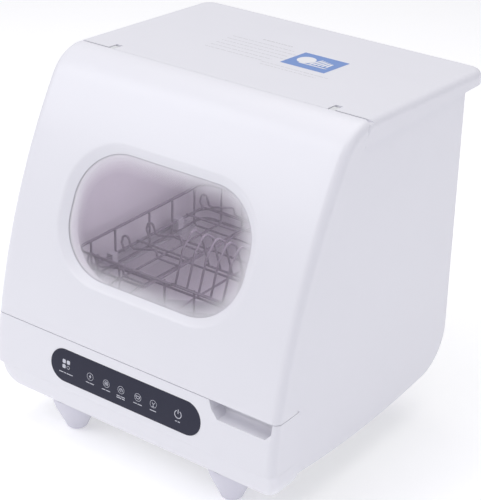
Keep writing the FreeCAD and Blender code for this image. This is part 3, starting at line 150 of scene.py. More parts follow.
def edge_wear_group():
    """Lighter, rougher corners where handling has rubbed the surface."""
    tree, inside, out = make_group(
        "edge_wear", "ShaderNodeTree",
        [("Vector", VECTOR, None), ("Colour", COLOUR, (0.5, 0.5, 0.5, 1)),
         ("Worn", COLOUR, (0.8, 0.8, 0.8, 1)), ("Roughness", VALUE, 0.4), ("Radius", VALUE, 0.0008),
         ("Amount", VALUE, 0.6)],
        [("Colour", COLOUR), ("Roughness", VALUE), ("Mask", VALUE)])
    soft = add(tree, "ShaderNodeBevel", samples=4)
    wire_in(tree, soft.inputs["Radius"], inside.outputs["Radius"])
    plain = add(tree, "ShaderNodeNewGeometry")
    turn = add(tree, "ShaderNodeVectorMath", operation="DOT_PRODUCT")
    wire_in(tree, turn.inputs[0], soft.outputs["Normal"])
    wire_in(tree, turn.inputs[1], plain.outputs["Normal"])
    edge = levels(tree, turn.outputs["Value"], 0.995, 0.85)
    patchy = levels(tree, noise(tree, inside.outputs["Vector"], 130.0, 4.0, 0.65), 0.4, 0.62)
    mask = maths(tree, "MULTIPLY", maths(tree, "MULTIPLY", edge, patchy), inside.outputs["Amount"], True)
    rubbed = blend_colours(tree, mask, inside.outputs["Colour"], inside.outputs["Worn"])
    wire_in(tree, out.inputs["Colour"], rubbed)
    wire_in(tree, out.inputs["Roughness"],
            maths(tree, "ADD", inside.outputs["Roughness"], maths(tree, "MULTIPLY", mask, 0.15), True))
    wire_in(tree, out.inputs["Mask"], mask)
    return tree


def drawn_metal_group():
    """Metal with fine lines along one direction and a few dull patches."""
    tree, inside, out = make_group(
        "drawn_metal", "ShaderNodeTree",
        [("Vector", VECTOR, None), ("Bright", COLOUR, (0.7, 0.7, 0.7, 1)),
         ("Dull", COLOUR, (0.5, 0.5, 0.5, 1)), ("Roughness", VALUE, 0.3)],
        [("Colour", COLOUR), ("Roughness", VALUE), ("Height", VALUE)])
    vector = inside.outputs["Vector"]
    lines = noise(tree, stretch(tree, vector, (12.0, 900.0, 900.0)), 3.0, 3.0)
    patches = levels(tree, noise(tree, vector, 60.0, 4.0), 0.35, 0.7)
    dulled = blend_colours(tree, patches, inside.outputs["Bright"], inside.outputs["Dull"])
    wire_in(tree, out.inputs["Colour"], dulled)
    shift = maths(tree, "MULTIPLY", maths(tree, "SUBTRACT", maths(tree, "ADD", lines, patches), 0.9), 0.14)
    wire_in(tree, out.inputs["Roughness"], maths(tree, "ADD", inside.outputs["Roughness"], shift, True))
    wire_in(tree, out.inputs["Height"], lines)
    return tree


MOULDED = moulded_surface_group()
WORN = edge_wear_group()
DRAWN = drawn_metal_group()


def grey(level, warm=0.0):
    return (level + warm, level, level - warm, 1)


def start_material(name, **sockets):
    material = bpy.data.materials.new(name)
    material.use_nodes = True
    tree = material.node_tree
    shader = tree.nodes["Principled BSDF"]
    for key, value in sockets.items():
        shader.inputs[key.replace("_", " ")].default_value = value
    place = add(tree, "ShaderNodeTexCoord").outputs["Object"]
    return material, tree, shader, place


def use_group(tree, group, **values):
    node = add(tree, "ShaderNodeGroup", node_tree=group)
    for key, value in values.items():
        wire_in(tree, node.inputs[key.replace("_", " ")], value)
    return node


def bump(tree, shader, height, strength, distance):
    node = add(tree, "ShaderNodeBump")
    node.inputs["Strength"].default_value = strength
    node.inputs["Distance"].default_value = distance
    wire_in(tree, node.inputs["Height"], height)
    wire_in(tree, shader.inputs["Normal"], node.outputs[0])


def plastic(name, base, cloud, roughness, spread=0.12, pebble=650.0, depth=0.00002, worn=None, **sockets):
    material, tree, shader, place = start_material(name, **sockets)
    skin = use_group(tree, MOULDED, Vector=place, Base=base, Cloud=cloud, Roughness=roughness,
                     Spread=spread, Pebble_Size=pebble)
    colour, rough = skin.outputs["Colour"], skin.outputs["Roughness"]
    if worn:
        edge = use_group(tree, WORN, Vector=place, Colour=colour, Worn=worn, Roughness=rough)
        colour, rough = edge.outputs["Colour"], edge.outputs["Roughness"]
    wire_in(tree, shader.inputs["Base Color"], colour)
    wire_in(tree, shader.inputs["Roughness"], rough)
    bump(tree, shader, skin.outputs["Height"], 0.35, depth)
    return material


def metal(name, bright, dull, roughness, worn=None, depth=0.00001):
    material, tree, shader, place = start_material(name, Metallic=1.0)
    skin = use_group(tree, DRAWN, Vector=place, Bright=bright, Dull=dull, Roughness=roughness)
    colour, rough = skin.outputs["Colour"], skin.outputs["Roughness"]
    if worn:
        edge = use_group(tree, WORN, Vector=place, Colour=colour, Worn=worn, Roughness=rough, Radius=0.0004)
        colour, rough = edge.outputs["Colour"], edge.outputs["Roughness"]
    wire_in(tree, shader.inputs["Base Color"], colour)
    wire_in(tree, shader.inputs["Roughness"], rough)
    bump(tree, shader, skin.outputs["Height"], 0.3, depth)
    return material


def tinted_glass():
    """Lightly hazed pane: mostly clear, greyer towards grazing angles."""
    material, tree, shader, place = start_material("tinted_pane", Roughness=0.05, IOR=1.45)
    haze = levels(tree, noise(tree, place, 11.0, 3.0), 0.3, 0.7, 0.14, 0.17)
    streak = noise(tree, stretch(tree, place, (4.0, 40.0, 40.0)), 3.0, 3.0)
    tint = blend_colours(tree, streak, (0.47, 0.42, 0.50, 1), (0.50, 0.455, 0.53, 1))
    wire_in(tree, shader.inputs["Base Color"], tint)
    wire_in(tree, shader.inputs["Alpha"], haze)
    bump(tree, shader, noise(tree, place, 9.0, 1.0), 0.1, 0.0002)
    return material


def circuit_board():
    """Green solder mask over copper tracks."""
    material, tree, shader, place = start_material("solder_mask", Coat_Weight=0.3)
    tracks = add(tree, "ShaderNodeTexBrick", offset=0.35, squash=0.6)
    wire_in(tree, tracks.inputs["Vector"], place)
    for key, value in (("Scale", 55.0), ("Mortar Size", 0.09), ("Mortar Smooth", 0.2)):
        tracks.inputs[key].default_value = value
    fleck = noise(tree, place, 500.0, 2.0)
    mask = blend_colours(tree, fleck, (0.02, 0.13, 0.05, 1), (0.04, 0.19, 0.08, 1))
    wire_in(tree, shader.inputs["Base Color"],
            blend_colours(tree, tracks.outputs["Fac"], mask, (0.06, 0.28, 0.10, 1)))
    wire_in(tree, shader.inputs["Roughness"], levels(tree, tracks.outputs["Fac"], 0, 1, 0.42, 0.3))
    bump(tree, shader, tracks.outputs["Fac"], 0.4, 0.00004)
    return material


def printed(name, colour, other):
    """Screen-printed ink with a fine grain through its cover."""
    material, tree, shader, place = start_material(name)
    grain = levels(tree, noise(tree, place, 2600.0, 2.0), 0.3, 0.7)
    wire_in(tree, shader.inputs["Base Color"], blend_colours(tree, grain, colour, other))
    wire_in(tree, shader.inputs["Roughness"], levels(tree, grain, 0, 1, 0.45, 0.6))
    bump(tree, shader, grain, 0.2, 0.00001)
    return material


WHITE = (0.785, 0.782, 0.828, 1)
FINISH = {
    "shell_white": plastic("white_abs", WHITE, (0.768, 0.765, 0.812, 1), 0.34, 0.10, 520.0, 0.000012,
                           (0.80, 0.80, 0.84, 1), Coat_Weight=0.12, Coat_Roughness=0.2),
    # Painted shade: the feet get a darker, bluer copy of the shell's white, standing in for the shade they
    # sit in under the body.
    "foot_white": plastic("foot_plastic", (0.68, 0.67, 0.745, 1), (0.64, 0.63, 0.71, 1), 0.5, 0.12, 700.0,
                          0.00003),
    "rear_grey": plastic("textured_back", grey(0.72, -0.006), grey(0.67, -0.006), 0.55, 0.1, 900.0, 0.00006,
                         (0.82, 0.82, 0.83, 1)),
    "window_glass": tinted_glass(),
    "inner_grey": plastic("tub_grey", (0.62, 0.585, 0.645, 1), (0.57, 0.535, 0.60, 1), 0.38, 0.15, 420.0,
                          0.00002),
    "guide_grey": plastic("guide_grey", (0.42, 0.40, 0.45, 1), (0.36, 0.34, 0.39, 1), 0.45, 0.15),
    "seal_rubber": plastic("seal_rubber", (0.10, 0.10, 0.108, 1), (0.14, 0.14, 0.15, 1), 0.72, 0.2, 1100.0,
                           0.00005),
    "display_black": plastic("display_lens", (0.034, 0.035, 0.055, 1), (0.040, 0.041, 0.064, 1), 0.3, 0.08,
                             300.0, 0.000004, Specular_IOR_Level=0.1),
    "circuit_board": circuit_board(),
    "hinge_plastic": plastic("hinge_acetal", grey(0.70, -0.01), grey(0.64, -0.01), 0.36, 0.12, 500.0,
                             0.00002, (0.8, 0.8, 0.81, 1)),
    "steel_pin": metal("turned_steel", grey(0.66), grey(0.5), 0.25, grey(0.8)),
    "magnet_iron": plastic("sintered_magnet", grey(0.07), grey(0.12), 0.62, 0.25, 1500.0, 0.00008,
                           grey(0.25)),
    "screw_steel": metal("zinc_plate", (0.66, 0.67, 0.69, 1), (0.52, 0.53, 0.55, 1), 0.3, grey(0.85)),
    "coated_wire": plastic("nylon_wire", (0.15, 0.128, 0.162, 1), (0.125, 0.105, 0.138, 1), 0.4, 0.2, 800.0,
                           0.00004),
    "wash_plastic": plastic("wash_grey", (0.30, 0.29, 0.33, 1), (0.25, 0.24, 0.28, 1), 0.42, 0.15, 600.0,
                            0.00003, (0.42, 0.41, 0.45, 1)),
    "filter_steel": metal("filter_steel", grey(0.68), grey(0.55), 0.32, grey(0.85)),
    "pump_black": plastic("pump_black", grey(0.035), grey(0.06), 0.5, 0.2, 800.0, 0.00005, grey(0.12)),
    "motor_steel": metal("motor_can", grey(0.6), grey(0.45), 0.34, grey(0.8), 0.00002),
    "impeller_plastic": plastic("impeller_white", (0.72, 0.70, 0.64, 1), (0.66, 0.64, 0.58, 1), 0.45, 0.15),
    "fitting_plastic": plastic("fitting_black", grey(0.05), grey(0.075), 0.5, 0.2, 800.0, 0.00004,
                               grey(0.16)),
}
PALE_INK = printed("pale_ink", (0.62, 0.63, 0.70, 1), (0.52, 0.53, 0.60, 1))
FRIT_INK = printed("frit_ink", (0.86, 0.855, 0.89, 1), (0.82, 0.815, 0.85, 1))
GREY_INK = printed("grey_ink", (0.50, 0.49, 0.51, 1), (0.60, 0.59, 0.61, 1))
BLUE_INK = printed("blue_ink", (0.165, 0.27, 0.56, 1), (0.19, 0.30, 0.60, 1))
WHITE_INK = printed("white_ink", (0.80, 0.80, 0.82, 1), (0.74, 0.74, 0.77, 1))

for row in frame["record"]["subparts"]:
    mesh = frame["nodes"][row["node"]].data
    mesh.materials.clear()
    mesh.materials.append(FINISH[row["material_slot"]])


# ---------------------------------------------------------------- mesh helpers
def new_piece(name, points, faces, material, edges=()):
    mesh = bpy.data.meshes.new(name)
    mesh.from_pydata([tuple(p) for p in points], list(edges), faces)
    mesh.materials.append(material)
    piece = bpy.data.objects.new(name, mesh)
    bpy.context.scene.collection.objects.link(piece)
    return piece


def baked(piece):
    """Applies the piece's modifiers, so that its mesh is plain."""
    bpy.context.view_layer.update()
    graph = bpy.context.evaluated_depsgraph_get()
    mesh = bpy.data.meshes.new_from_object(piece.evaluated_get(graph), preserve_all_data_layers=True,
                                           depsgraph=graph)
    piece.modifiers.clear()
    old = piece.data
    piece.data = mesh
    mesh.name = piece.name
    bpy.data.meshes.remove(old)
    return piece


def tidy_normals(piece, angle=35.0, merge=0.00001):
    """Merges doubles, turns faces outwards and smooths all but the sharp edges."""
    work = bmesh.new()
    work.from_mesh(piece.data)
    bmesh.ops.remove_doubles(work, verts=work.verts, dist=merge)
    bmesh.ops.dissolve_degenerate(work, edges=work.edges, dist=merge)
    bmesh.ops.recalc_face_normals(work, faces=work.faces)
    for face in work.faces:
        face.smooth = True
    for edge in work.edges:
        edge.smooth = not (edge.is_manifold and edge.calc_face_angle(0) > math.radians(angle))
    work.to_mesh(piece.data)
    work.free()
    return piece


def soft_edges(piece, width, angle=40.0, segments=2):
    """Rounds the sharp edges by a small width."""
    modifier = piece.modifiers.new("round_over", "BEVEL")
    modifier.width = width * MM
    modifier.segments = segments
    modifier.limit_method = "ANGLE"
    modifier.angle_limit = math.radians(angle)
    baked(piece)
    return tidy_normals(piece, 50.0)


# ---------------------------------------------------------------- door front surface
FRONT_RADIUS, CREST_RADIUS = 831.0, 57.0
LEAN = math.radians(11.06)
ARC_DEPTH = 3.0 + FRONT_RADIUS * math.cos(LEAN)
ARC_Z = 149.0 - FRONT_RADIUS * math.sin(LEAN)
CREST_Z = 396.5
JOIN = math.asin((CREST_Z - ARC_Z) / (FRONT_RADIUS - CREST_RADIUS))
CREST_DEPTH = ARC_DEPTH - (FRONT_RADIUS - CREST_RADIUS) * math.cos(JOIN)
DOOR_LOW = 149.8
LOW_ANGLE = math.asin((DOOR_LOW - ARC_Z) / FRONT_RADIUS)
FACE_RUN = (JOIN - LOW_ANGLE) * FRONT_RADIUS
CREST_RUN = (math.pi / 2 - JOIN) * CREST_RADIUS
WINDOW_RUN = 157.0 - (LOW_ANGLE - LEAN) * FRONT_RADIUS


def rear_limit(z):
    """Depth of the door's undercut rear edge at a height."""
    steps = ((444.5, 153.2), (450.5, 158.6), (453.5, 160.2))
    if z <= steps[0][0]:
        return steps[0][1]
    for (z0, d0), (z1, d1) in zip(steps, steps[1:]):
        if z <= z1:
            return d0 + (d1 - d0) * (z - z0) / (z1 - z0)
    return steps[-1][1]


def door_point(x, run, inset):
    """Point on the door at x, distance up its face, and depth below the face."""
    if run <= FACE_RUN:
        angle = LOW_ANGLE + run / FRONT_RADIUS
        radius = FRONT_RADIUS - inset
        depth, z = ARC_DEPTH - radius * math.cos(angle), ARC_Z + radius * math.sin(angle)
    else:
        angle = JOIN + (run - FACE_RUN) / CREST_RADIUS
        radius = CREST_RADIUS - inset
        depth, z = CREST_DEPTH - radius * math.cos(angle), CREST_Z + radius * math.sin(angle)
        depth = min(depth, rear_limit(z))
    return at(x, depth, max(z, DOOR_LOW))


def rounded_outline(half_u, half_v, radius, count):
    """Points round a rounded rectangle, evenly spaced, starting on the right."""
    straight_u, straight_v = 2 * (half_u - radius), 2 * (half_v - radius)
    quarter = math.pi * radius / 2
    total = 2 * (straight_u + straight_v) + 4 * quarter
    points = []
    for index in range(count):
        run = total * index / count
        u, v, turn = half_u, 0.0, 0.0
        for length, bend in ((straight_v / 2, 0), (quarter, 1), (straight_u, 0), (quarter, 1),
                             (straight_v, 0), (quarter, 1), (straight_u, 0), (quarter, 1),
                             (straight_v / 2, 0)):
            step = min(run, length)
            if bend:
                swing = step / radius
                u += radius * (math.cos(turn + swing) - math.cos(turn))
                v += radius * (math.sin(turn + swing) - math.sin(turn))
                turn += swing
            else:
                u -= math.sin(turn) * step
                v += math.cos(turn) * step
            run -= step
            if run <= 1e-9:
                break
        points.append((u, v))
    return points


GLASS_HALF = (127.5, 76.5, 66.0)          # half width, half height and corner radius
BEVEL_HALF = (141.5, 87.5, 76.0)
RING = 288                                # points round the window
SINK = 7.2                                # depth of the glass below the door's face
FLAT_HALF = 200.0                         # the door's face before its rounded sides
DOOR_ROUND = 10.0
DOOR_WALL = 3.0
SURROUND_INSET = 8.0                      # inner face behind the window surround
FLANGE_REACH = 37.0                       # how far the door wraps round the sides


def bevel_sink(share):
    """Depth of the window surround from its soft outer edge (0) to the glass (1)."""
    turn = 0.4
    rate = SINK / (2 * turn - turn * turn)
    if share < turn:
        return rate * share * share
    return rate * turn * turn + 2 * rate * turn * (share - turn)


def door_skin():
    """One moulded shell: curved face, window surround, rounded sides, flanges and crest."""
    outline = rounded_outline(*BEVEL_HALF, RING)
    glass = rounded_outline(*GLASS_HALF, RING)
    low, high = -WINDOW_RUN, FACE_RUN - WINDOW_RUN
    rim = []
    for u, v in outline:
        reach = min(FLAT_HALF / abs(u) if u else 1e9, (high if v > 0 else -low) / abs(v) if v else 1e9)
        rim.append([u * reach, v * reach])
    for cu, cv in ((FLAT_HALF, high), (-FLAT_HALF, high), (-FLAT_HALF, low), (FLAT_HALF, low)):
        nearest = min(rim, key=lambda p: math.hypot(p[0] - cu, p[1] - cv))
        nearest[0], nearest[1] = cu, cv
    rows = []                      # each vertex: x, run, outer inset, inner inset, flange share or None
    faces = []
    index = {}

    def vertex(x, run, outer=0.0, inner=DOOR_WALL, flange=None):
        key = (round(x, 4), round(run, 4), None if flange is None else round(flange, 4))
        if key not in index:
            index[key] = len(rows)
            rows.append((x, run, outer, inner, flange))
        return index[key]

    rings = []
    spread = 26
    for step in range(spread):
        share = (step / spread) ** 0.8
        rings.append([vertex(q[0] + (p[0] - q[0]) * share, WINDOW_RUN + q[1] + (p[1] - q[1]) * share,
                             0.0, DOOR_WALL if share < 0.9 else SURROUND_INSET)
                      for p, q in zip(outline, rim)])
    slope = 14
    for step in range(slope + 1):
        share = step / slope
        rings.append([vertex(p[0] + (q[0] - p[0]) * share, WINDOW_RUN + p[1] + (q[1] - p[1]) * share,
                             bevel_sink(share), SURROUND_INSET) for p, q in zip(outline, glass)])
    for outer, inner in zip(rings, rings[1:]):
        for i in range(RING):
            j = (i + 1) % RING
            faces.append((outer[i], outer[j], inner[j], inner[i]))
    crest_rows = [FACE_RUN + CREST_RUN * k / 26 for k in range(27)]
    top_x = sorted(p[0] for p in rim if abs(p[1] - high) < 1e-6)
    for r0, r1 in zip(crest_rows, crest_rows[1:]):
        for x0, x1 in zip(top_x, top_x[1:]):
            faces.append((vertex(x0, r0), vertex(x1, r0), vertex(x1, r1), vertex(x0, r1)))
    turns = [k / 8 for k in range(9)]
    shares = [1.0 + k / 5 for k in range(1, 6)]
    for side in (-1, 1):
        runs = sorted(WINDOW_RUN + p[1] for p in rim if abs(p[0] - side * FLAT_HALF) < 1e-6)
        runs += crest_rows[1:]
        for r0, r1 in zip(runs, runs[1:]):
            marks = turns + shares
            for s0, s1 in zip(marks, marks[1:]):
                quad = []
                for share, run in ((s0, r0), (s1, r0), (s1, r1), (s0, r1)):
                    quad.append(vertex(side * FLAT_HALF, run) if share == 0 else
                                vertex(side * FLAT_HALF, run, flange=side * share))
                faces.append(tuple(quad) if side > 0 else tuple(reversed(quad)))

    def place(row, layer):
        x, run, outer, inner, flange = row
        inset = outer if layer == 0 else inner
        if flange is None:
            return door_point(x, run, inset)
        side, share = math.copysign(1, flange), abs(flange)
        swing = min(share, 1.0) * math.pi / 2
        bend = DOOR_ROUND - DOOR_WALL * layer
        edge = door_point(side * (FLAT_HALF + bend * math.sin(swing)), run,
                          DOOR_ROUND - bend * math.cos(swing))
        if share <= 1.0:
            return edge
        if run <= FACE_RUN:
            back = door_point(0, run, 0) + Vector((0, FLANGE_REACH, 0)) * MM
        else:
            climb = (run - FACE_RUN) / CREST_RUN
            corner = (at(0, 148.7, 426.5), at(0, 153.2, 436.5), at(0, 153.2, 443.4))
            if climb < 0.5:
                back = corner[0].lerp(corner[1], climb * 2)
            else:
                back = corner[1].lerp(corner[2], climb * 2 - 1)
        back.x = edge.x
        return edge.lerp(back, share - 1.0)

    count = len(rows)
    points = [place(row, 0) for row in rows] + [place(row, 1) for row in rows]
    used = {}
    for face in faces:
        for a, b in zip(face, face[1:] + face[:1]):
            used[(a, b)] = used.get((a, b), 0) + 1
    rim_faces = [(b, a, a + count, b + count) for a, b in used if (b, a) not in used]
    inside = [tuple(v + count for v in reversed(face)) for face in faces]
    skin = new_piece("door_shell", points, faces + inside + rim_faces, FINISH["shell_white"])
    tidy_normals(skin, 40.0, 0.000004)
    soft_edges(skin, 0.45, 42.0)
    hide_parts("door_skin")
    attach(skin, "door")
    return skin


# ---------------------------------------------------------------- geometry node trees
def geometry_tree(name, inputs):
    tree, inside, out = make_group(name, "GeometryNodeTree",
                                   [("Geometry", "NodeSocketGeometry", None)] + inputs,
                                   [("Geometry", "NodeSocketGeometry")])
    return tree, inside, out


def close_tree(tree, out, geometry, material):
    """Every tree ends in Realize Instances and Set Material."""
    realize = add(tree, "GeometryNodeRealizeInstances")
    wire_in(tree, realize.inputs[0], geometry)
    paint = add(tree, "GeometryNodeSetMaterial")
    wire_in(tree, paint.inputs["Geometry"], realize.outputs[0])
    wire_in(tree, paint.inputs["Material"], material)
    wire_in(tree, out.inputs[0], paint.outputs[0])


def round_wire_tree():
    """Edges become bent round wire."""
    tree, inside, out = geometry_tree("round_wire", [
        ("Wire Radius", VALUE, 0.0015), ("Bend Radius", VALUE, 0.006), ("Sides", "NodeSocketInt", 12),
        ("Material", "NodeSocketMaterial", None)])
    curve = add(tree, "GeometryNodeMeshToCurve")
    wire_in(tree, curve.inputs[0], inside.outputs["Geometry"])
    bend = add(tree, "GeometryNodeFilletCurve")
    wire_in(tree, bend.inputs["Curve"], curve.outputs[0])
    if "Mode" in bend.inputs:
        bend.inputs["Mode"].default_value = "Poly"
    else:
        bend.mode = "POLY"
    bend.inputs["Count"].default_value = 6
    bend.inputs["Limit Radius"].default_value = True
    wire_in(tree, bend.inputs["Radius"], inside.outputs["Bend Radius"])
    ring = add(tree, "GeometryNodeCurvePrimitiveCircle")
    wire_in(tree, ring.inputs["Radius"], inside.outputs["Wire Radius"])
    wire_in(tree, ring.inputs["Resolution"], inside.outputs["Sides"])
    sweep = add(tree, "GeometryNodeCurveToMesh")
    sweep.inputs["Fill Caps"].default_value = True
    wire_in(tree, sweep.inputs["Curve"], bend.outputs[0])
    wire_in(tree, sweep.inputs["Profile Curve"], ring.outputs[0])
    smooth = add(tree, "GeometryNodeSetShadeSmooth")
    wire_in(tree, smooth.inputs[0], sweep.outputs[0])
    close_tree(tree, out, smooth.outputs[0], inside.outputs["Material"])
    return tree


def stamped_dots_tree():
    """A small disc at every point, turned to the point's facing and sized by its own radius."""
    tree, inside, out = geometry_tree("stamped_dots", [
        ("Sides", "NodeSocketInt", 8), ("Size", VALUE, 1.0), ("Material", "NodeSocketMaterial", None)])
    cloud = add(tree, "GeometryNodeMeshToPoints")
    wire_in(tree, cloud.inputs[0], inside.outputs["Geometry"])
    disc = add(tree, "GeometryNodeMeshCircle", fill_type="NGON")
    wire_in(tree, disc.inputs["Vertices"], inside.outputs["Sides"])
    wire_in(tree, disc.inputs["Radius"], inside.outputs["Size"])
    facing = add(tree, "GeometryNodeInputNamedAttribute", data_type="FLOAT_VECTOR")
    facing.inputs[0].default_value = "facing"
    radius = add(tree, "GeometryNodeInputNamedAttribute", data_type="FLOAT")
    radius.inputs[0].default_value = "dot_radius"
    turn = add(tree, "FunctionNodeAlignRotationToVector", axis="Z")
    wire_in(tree, turn.inputs["Vector"], facing.outputs[0])
    stamp = add(tree, "GeometryNodeInstanceOnPoints")
    wire_in(tree, stamp.inputs["Points"], cloud.outputs[0])
    wire_in(tree, stamp.inputs["Instance"], disc.outputs[0])
    wire_in(tree, stamp.inputs["Rotation"], turn.outputs[0])
    wire_in(tree, stamp.inputs["Scale"], radius.outputs[0])
    close_tree(tree, out, stamp.outputs[0], inside.outputs["Material"])
    return tree


ROUND_WIRE = round_wire_tree()
STAMPED_DOTS = stamped_dots_tree()


def run_tree(piece, tree, **values):
    """Runs a tree on a piece with its inputs set by identifier, and keeps the plain mesh."""
    modifier = piece.modifiers.new(tree.name, "NODES")
    modifier.node_group = tree
    for item in tree.interface.items_tree:
        key = item.name.replace(" ", "_")
        if item.item_type == "SOCKET" and item.in_out == "INPUT" and key in values:
            modifier[item.identifier] = values[key]
    return baked(piece)


def wires(name, paths, radius, bend, body, slot, replaced=(), sides=12):
    """Round wires along straight runs with bent corners. A path that ends where it starts is closed."""
    points, edges = [], []
    for path in paths:
        closed = (path[0] - path[-1]).length < 1e-7
        run = path[:-1] if closed else path
        first = len(points)
        points += run
        edges += [(first + k, first + k + 1) for k in range(len(run) - 1)]
        if closed:
            edges.append((first + len(run) - 1, first))
    material = FINISH[slot]
    piece = new_piece(name, points, [], material, edges)
    run_tree(piece, ROUND_WIRE, Wire_Radius=radius * MM, Bend_Radius=bend * MM, Sides=sides,
             Material=material)
    tidy_normals(piece, 50.0)
    if replaced:
        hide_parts(*replaced)
    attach(piece, body)
    return piece


# ---------------------------------------------------------------- window details
def frit_dots():
    """Printed dots on the pane that shrink away from its edge."""
    points, facings, sizes = [], [], []
    pitch, rows, row_step, edge_gap = 2.2, 13, 1.65, 0.9
    for row in range(rows):
        inward = edge_gap + row * row_step
        half = (GLASS_HALF[0] - inward, GLASS_HALF[1] - inward, GLASS_HALF[2] - inward)
        length = 4 * (half[0] + half[1]) - (8 - 2 * math.pi) * half[2]
        outline = rounded_outline(*half, int(length / pitch / 2) * 2)
        offset = 0.5 * (row % 2)
        for k, (u, v) in enumerate(outline):
            nu, nv = outline[(k + 1) % len(outline)]
            x, run = u + (nu - u) * offset, v + (nv - v) * offset
            angle = LOW_ANGLE + (WINDOW_RUN + run) / FRONT_RADIUS
            points.append(door_point(x, WINDOW_RUN + run, 7.93))
            facings.append((0.0, -math.cos(angle), math.sin(angle)))
            sizes.append((0.92 - 0.056 * row) * MM)
    piece = new_piece("window_frit_dots", points, [], FRIT_INK)
    facing = piece.data.attributes.new("facing", "FLOAT_VECTOR", "POINT")
    facing.data.foreach_set("vector", [c for f in facings for c in f])
    piece.data.attributes.new("dot_radius", "FLOAT", "POINT").data.foreach_set("value", sizes)
    run_tree(piece, STAMPED_DOTS, Sides=8, Size=1.0, Material=FRIT_INK)
    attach(piece, "door")
    return piece


# Painted shade: a thin grey bead laid round the pane's edge stands in for the shadow in the narrow gap
# where the pane meets its surround.
def window_bead():
    outline = rounded_outline(GLASS_HALF[0] - 0.35, GLASS_HALF[1] - 0.35, GLASS_HALF[2] - 0.35, 220)
    loop = [door_point(u, WINDOW_RUN + v, 7.55) for u, v in outline]
    return wires("window_bead", [loop + loop[:1]], 0.32, 0.0, "door", "guide_grey", sides=8)


# ---------------------------------------------------------------- dish basket and cup shelf
RAILS = (221.0, 186.0, 172.0)
HALF, FRONT, REAR = 150.0, 82.0, 333.0
WIRE, THIN = 1.9, 1.5                     # radii of the rails and of the other wires
TOUCH = 0.05                              # gap where wires rest on each other
FLOOR_WIRE = RAILS[2] - 2
CROSS_DEPTHS = (105, 150, 216, 262, 308)
LONG_PLACES = (-118, -84, -14, 30, 84, 118)
HOOP_PLACES = [-50 + 18.2 * k for k in range(8)]
BAR_DEPTHS = (150, 216)
SHELF_X, SHELF_Z, SHELF_INNER = -142.5, 191.5, -57.0
SHELF_FRONT, SHELF_REAR, SHELF_JOIN = 98, 322, 210
SHELF_BARS = (187, 287)
HOOK_DEPTHS = (98, 161, 209, 319)
HOOK_RISE = 22
RAIL_BEND, RUN_BEND, HOOP_BEND, HOOK_BEND = 16.0, 6.0, 9.0, 3.2


def basket():
    """Three rails, wires across and along the floor, and a row of plate hoops on two bars."""
    loops = []
    for z in RAILS:
        loops.append([at(0, FRONT, z), at(HALF, FRONT, z), at(HALF, REAR, z), at(-HALF, REAR, z),
                      at(-HALF, FRONT, z), at(0, FRONT, z)])
    wires("basket_rail_loops", loops, WIRE, RAIL_BEND, "basket", "coated_wire", ["basket_rails"], 14)
    gap = WIRE + THIN + TOUCH
    side, top = HALF - gap, RAILS[0] + 1
    across = [[at(-side, d, top), at(-side, d, FLOOR_WIRE), at(side, d, FLOOR_WIRE), at(side, d, top)]
              for d in CROSS_DEPTHS]
    wires("basket_cross_runs", across, THIN, RUN_BEND, "basket", "coated_wire", ["basket_cross_wires"])
    front, rear, floor_z = FRONT + gap, REAR - gap, FLOOR_WIRE + 2 * THIN + TOUCH
    along = [[at(x, front, top), at(x, front, floor_z), at(x, rear, floor_z), at(x, rear, top)]
             for x in LONG_PLACES]
    wires("basket_long_runs", along, THIN, RUN_BEND, "basket", "coated_wire", ["basket_long_wires"])
    bar = FLOOR_WIRE + 4 * THIN + 3 * TOUCH
    foot = bar + THIN + 0.7
    hoops = [[at(x, 150, foot), at(x, 164, foot + 40), at(x, 183, foot + 61), at(x, 200, foot + 49),
              at(x, 206, foot + 30), at(x, 216, foot)] for x in HOOP_PLACES]
    bars = [[at(-56, d, bar), at(83.4, d, bar)] for d in BAR_DEPTHS]
    wires("plate_hoops", hoops + bars, THIN, HOOP_BEND, "basket", "coated_wire", ["plate_rack"])


def cup_shelf():
    """Wire frame that turns on its outer rail, with two cross bars and four looped cup hooks."""
    runs = [[at(SHELF_X, SHELF_JOIN, SHELF_Z), at(SHELF_X, SHELF_FRONT, SHELF_Z),
             at(SHELF_INNER, SHELF_FRONT, SHELF_Z), at(SHELF_INNER, SHELF_REAR, SHELF_Z),
             at(SHELF_X, SHELF_REAR, SHELF_Z), at(SHELF_X, SHELF_JOIN + 0.5, SHELF_Z)]]
    lift = SHELF_Z + 2 * THIN + 0.03
    runs += [[at(SHELF_X, d, lift), at(SHELF_INNER, d, lift)] for d in SHELF_BARS]
    top = SHELF_Z + HOOK_RISE
    for d in HOOK_DEPTHS:
        loop = [(9, d - 8, lift), (1, d - 5, lift + 9), (1, d - 2, top - 3), (5, d, top),
                (8, d + 1, top - 6), (10, d + 2, lift + 4), (16, d + 2, lift + 2), (50, d, lift + 12),
                (53, d, lift + 12), (54, d + 1, lift + 2)]
        runs.append([at(SHELF_X + out, depth, z) for out, depth, z in loop]
                    + [at(SHELF_INNER + 1, d + 3, lift)])
    wires("cup_hooks", runs, THIN, HOOK_BEND, "cup_shelf", "coated_wire", ["cup_shelf"])


# ---------------------------------------------------------------- printed marks
LENS_RADIUS, LENS_CENTRE, LENS_FOOT = 340.3, 336.5, 84.0
SLAB_TOP, SLAB_START, SLAB_FALL, SLAB_RUN = 453.5, 160.2, 11.0, 254.8


def panel_face(x, z):
    """Point on the display lens, a little in front of it."""
    radius = LENS_RADIUS + 0.05
    return at(x, LENS_CENTRE - math.sqrt(radius ** 2 - (z - LENS_FOOT) ** 2), z)


def slab_face(x, depth, proud=0.06):
    """Point on the sloping top cover."""
    return at(x, depth, SLAB_TOP - SLAB_FALL * (depth - SLAB_START) / SLAB_RUN + proud)


def flat_shapes(name, shapes, surface, material, body):
    """Filled outlines laid on a surface. Each shape is a list of outline points."""
    points, faces = [], []
    for outline in shapes:
        first = len(points)
        points += [surface(*p) for p in outline]
        faces.append(tuple(range(first, first + len(outline))))
    piece = new_piece(name, points, faces, material)
    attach(piece, body)
    return piece


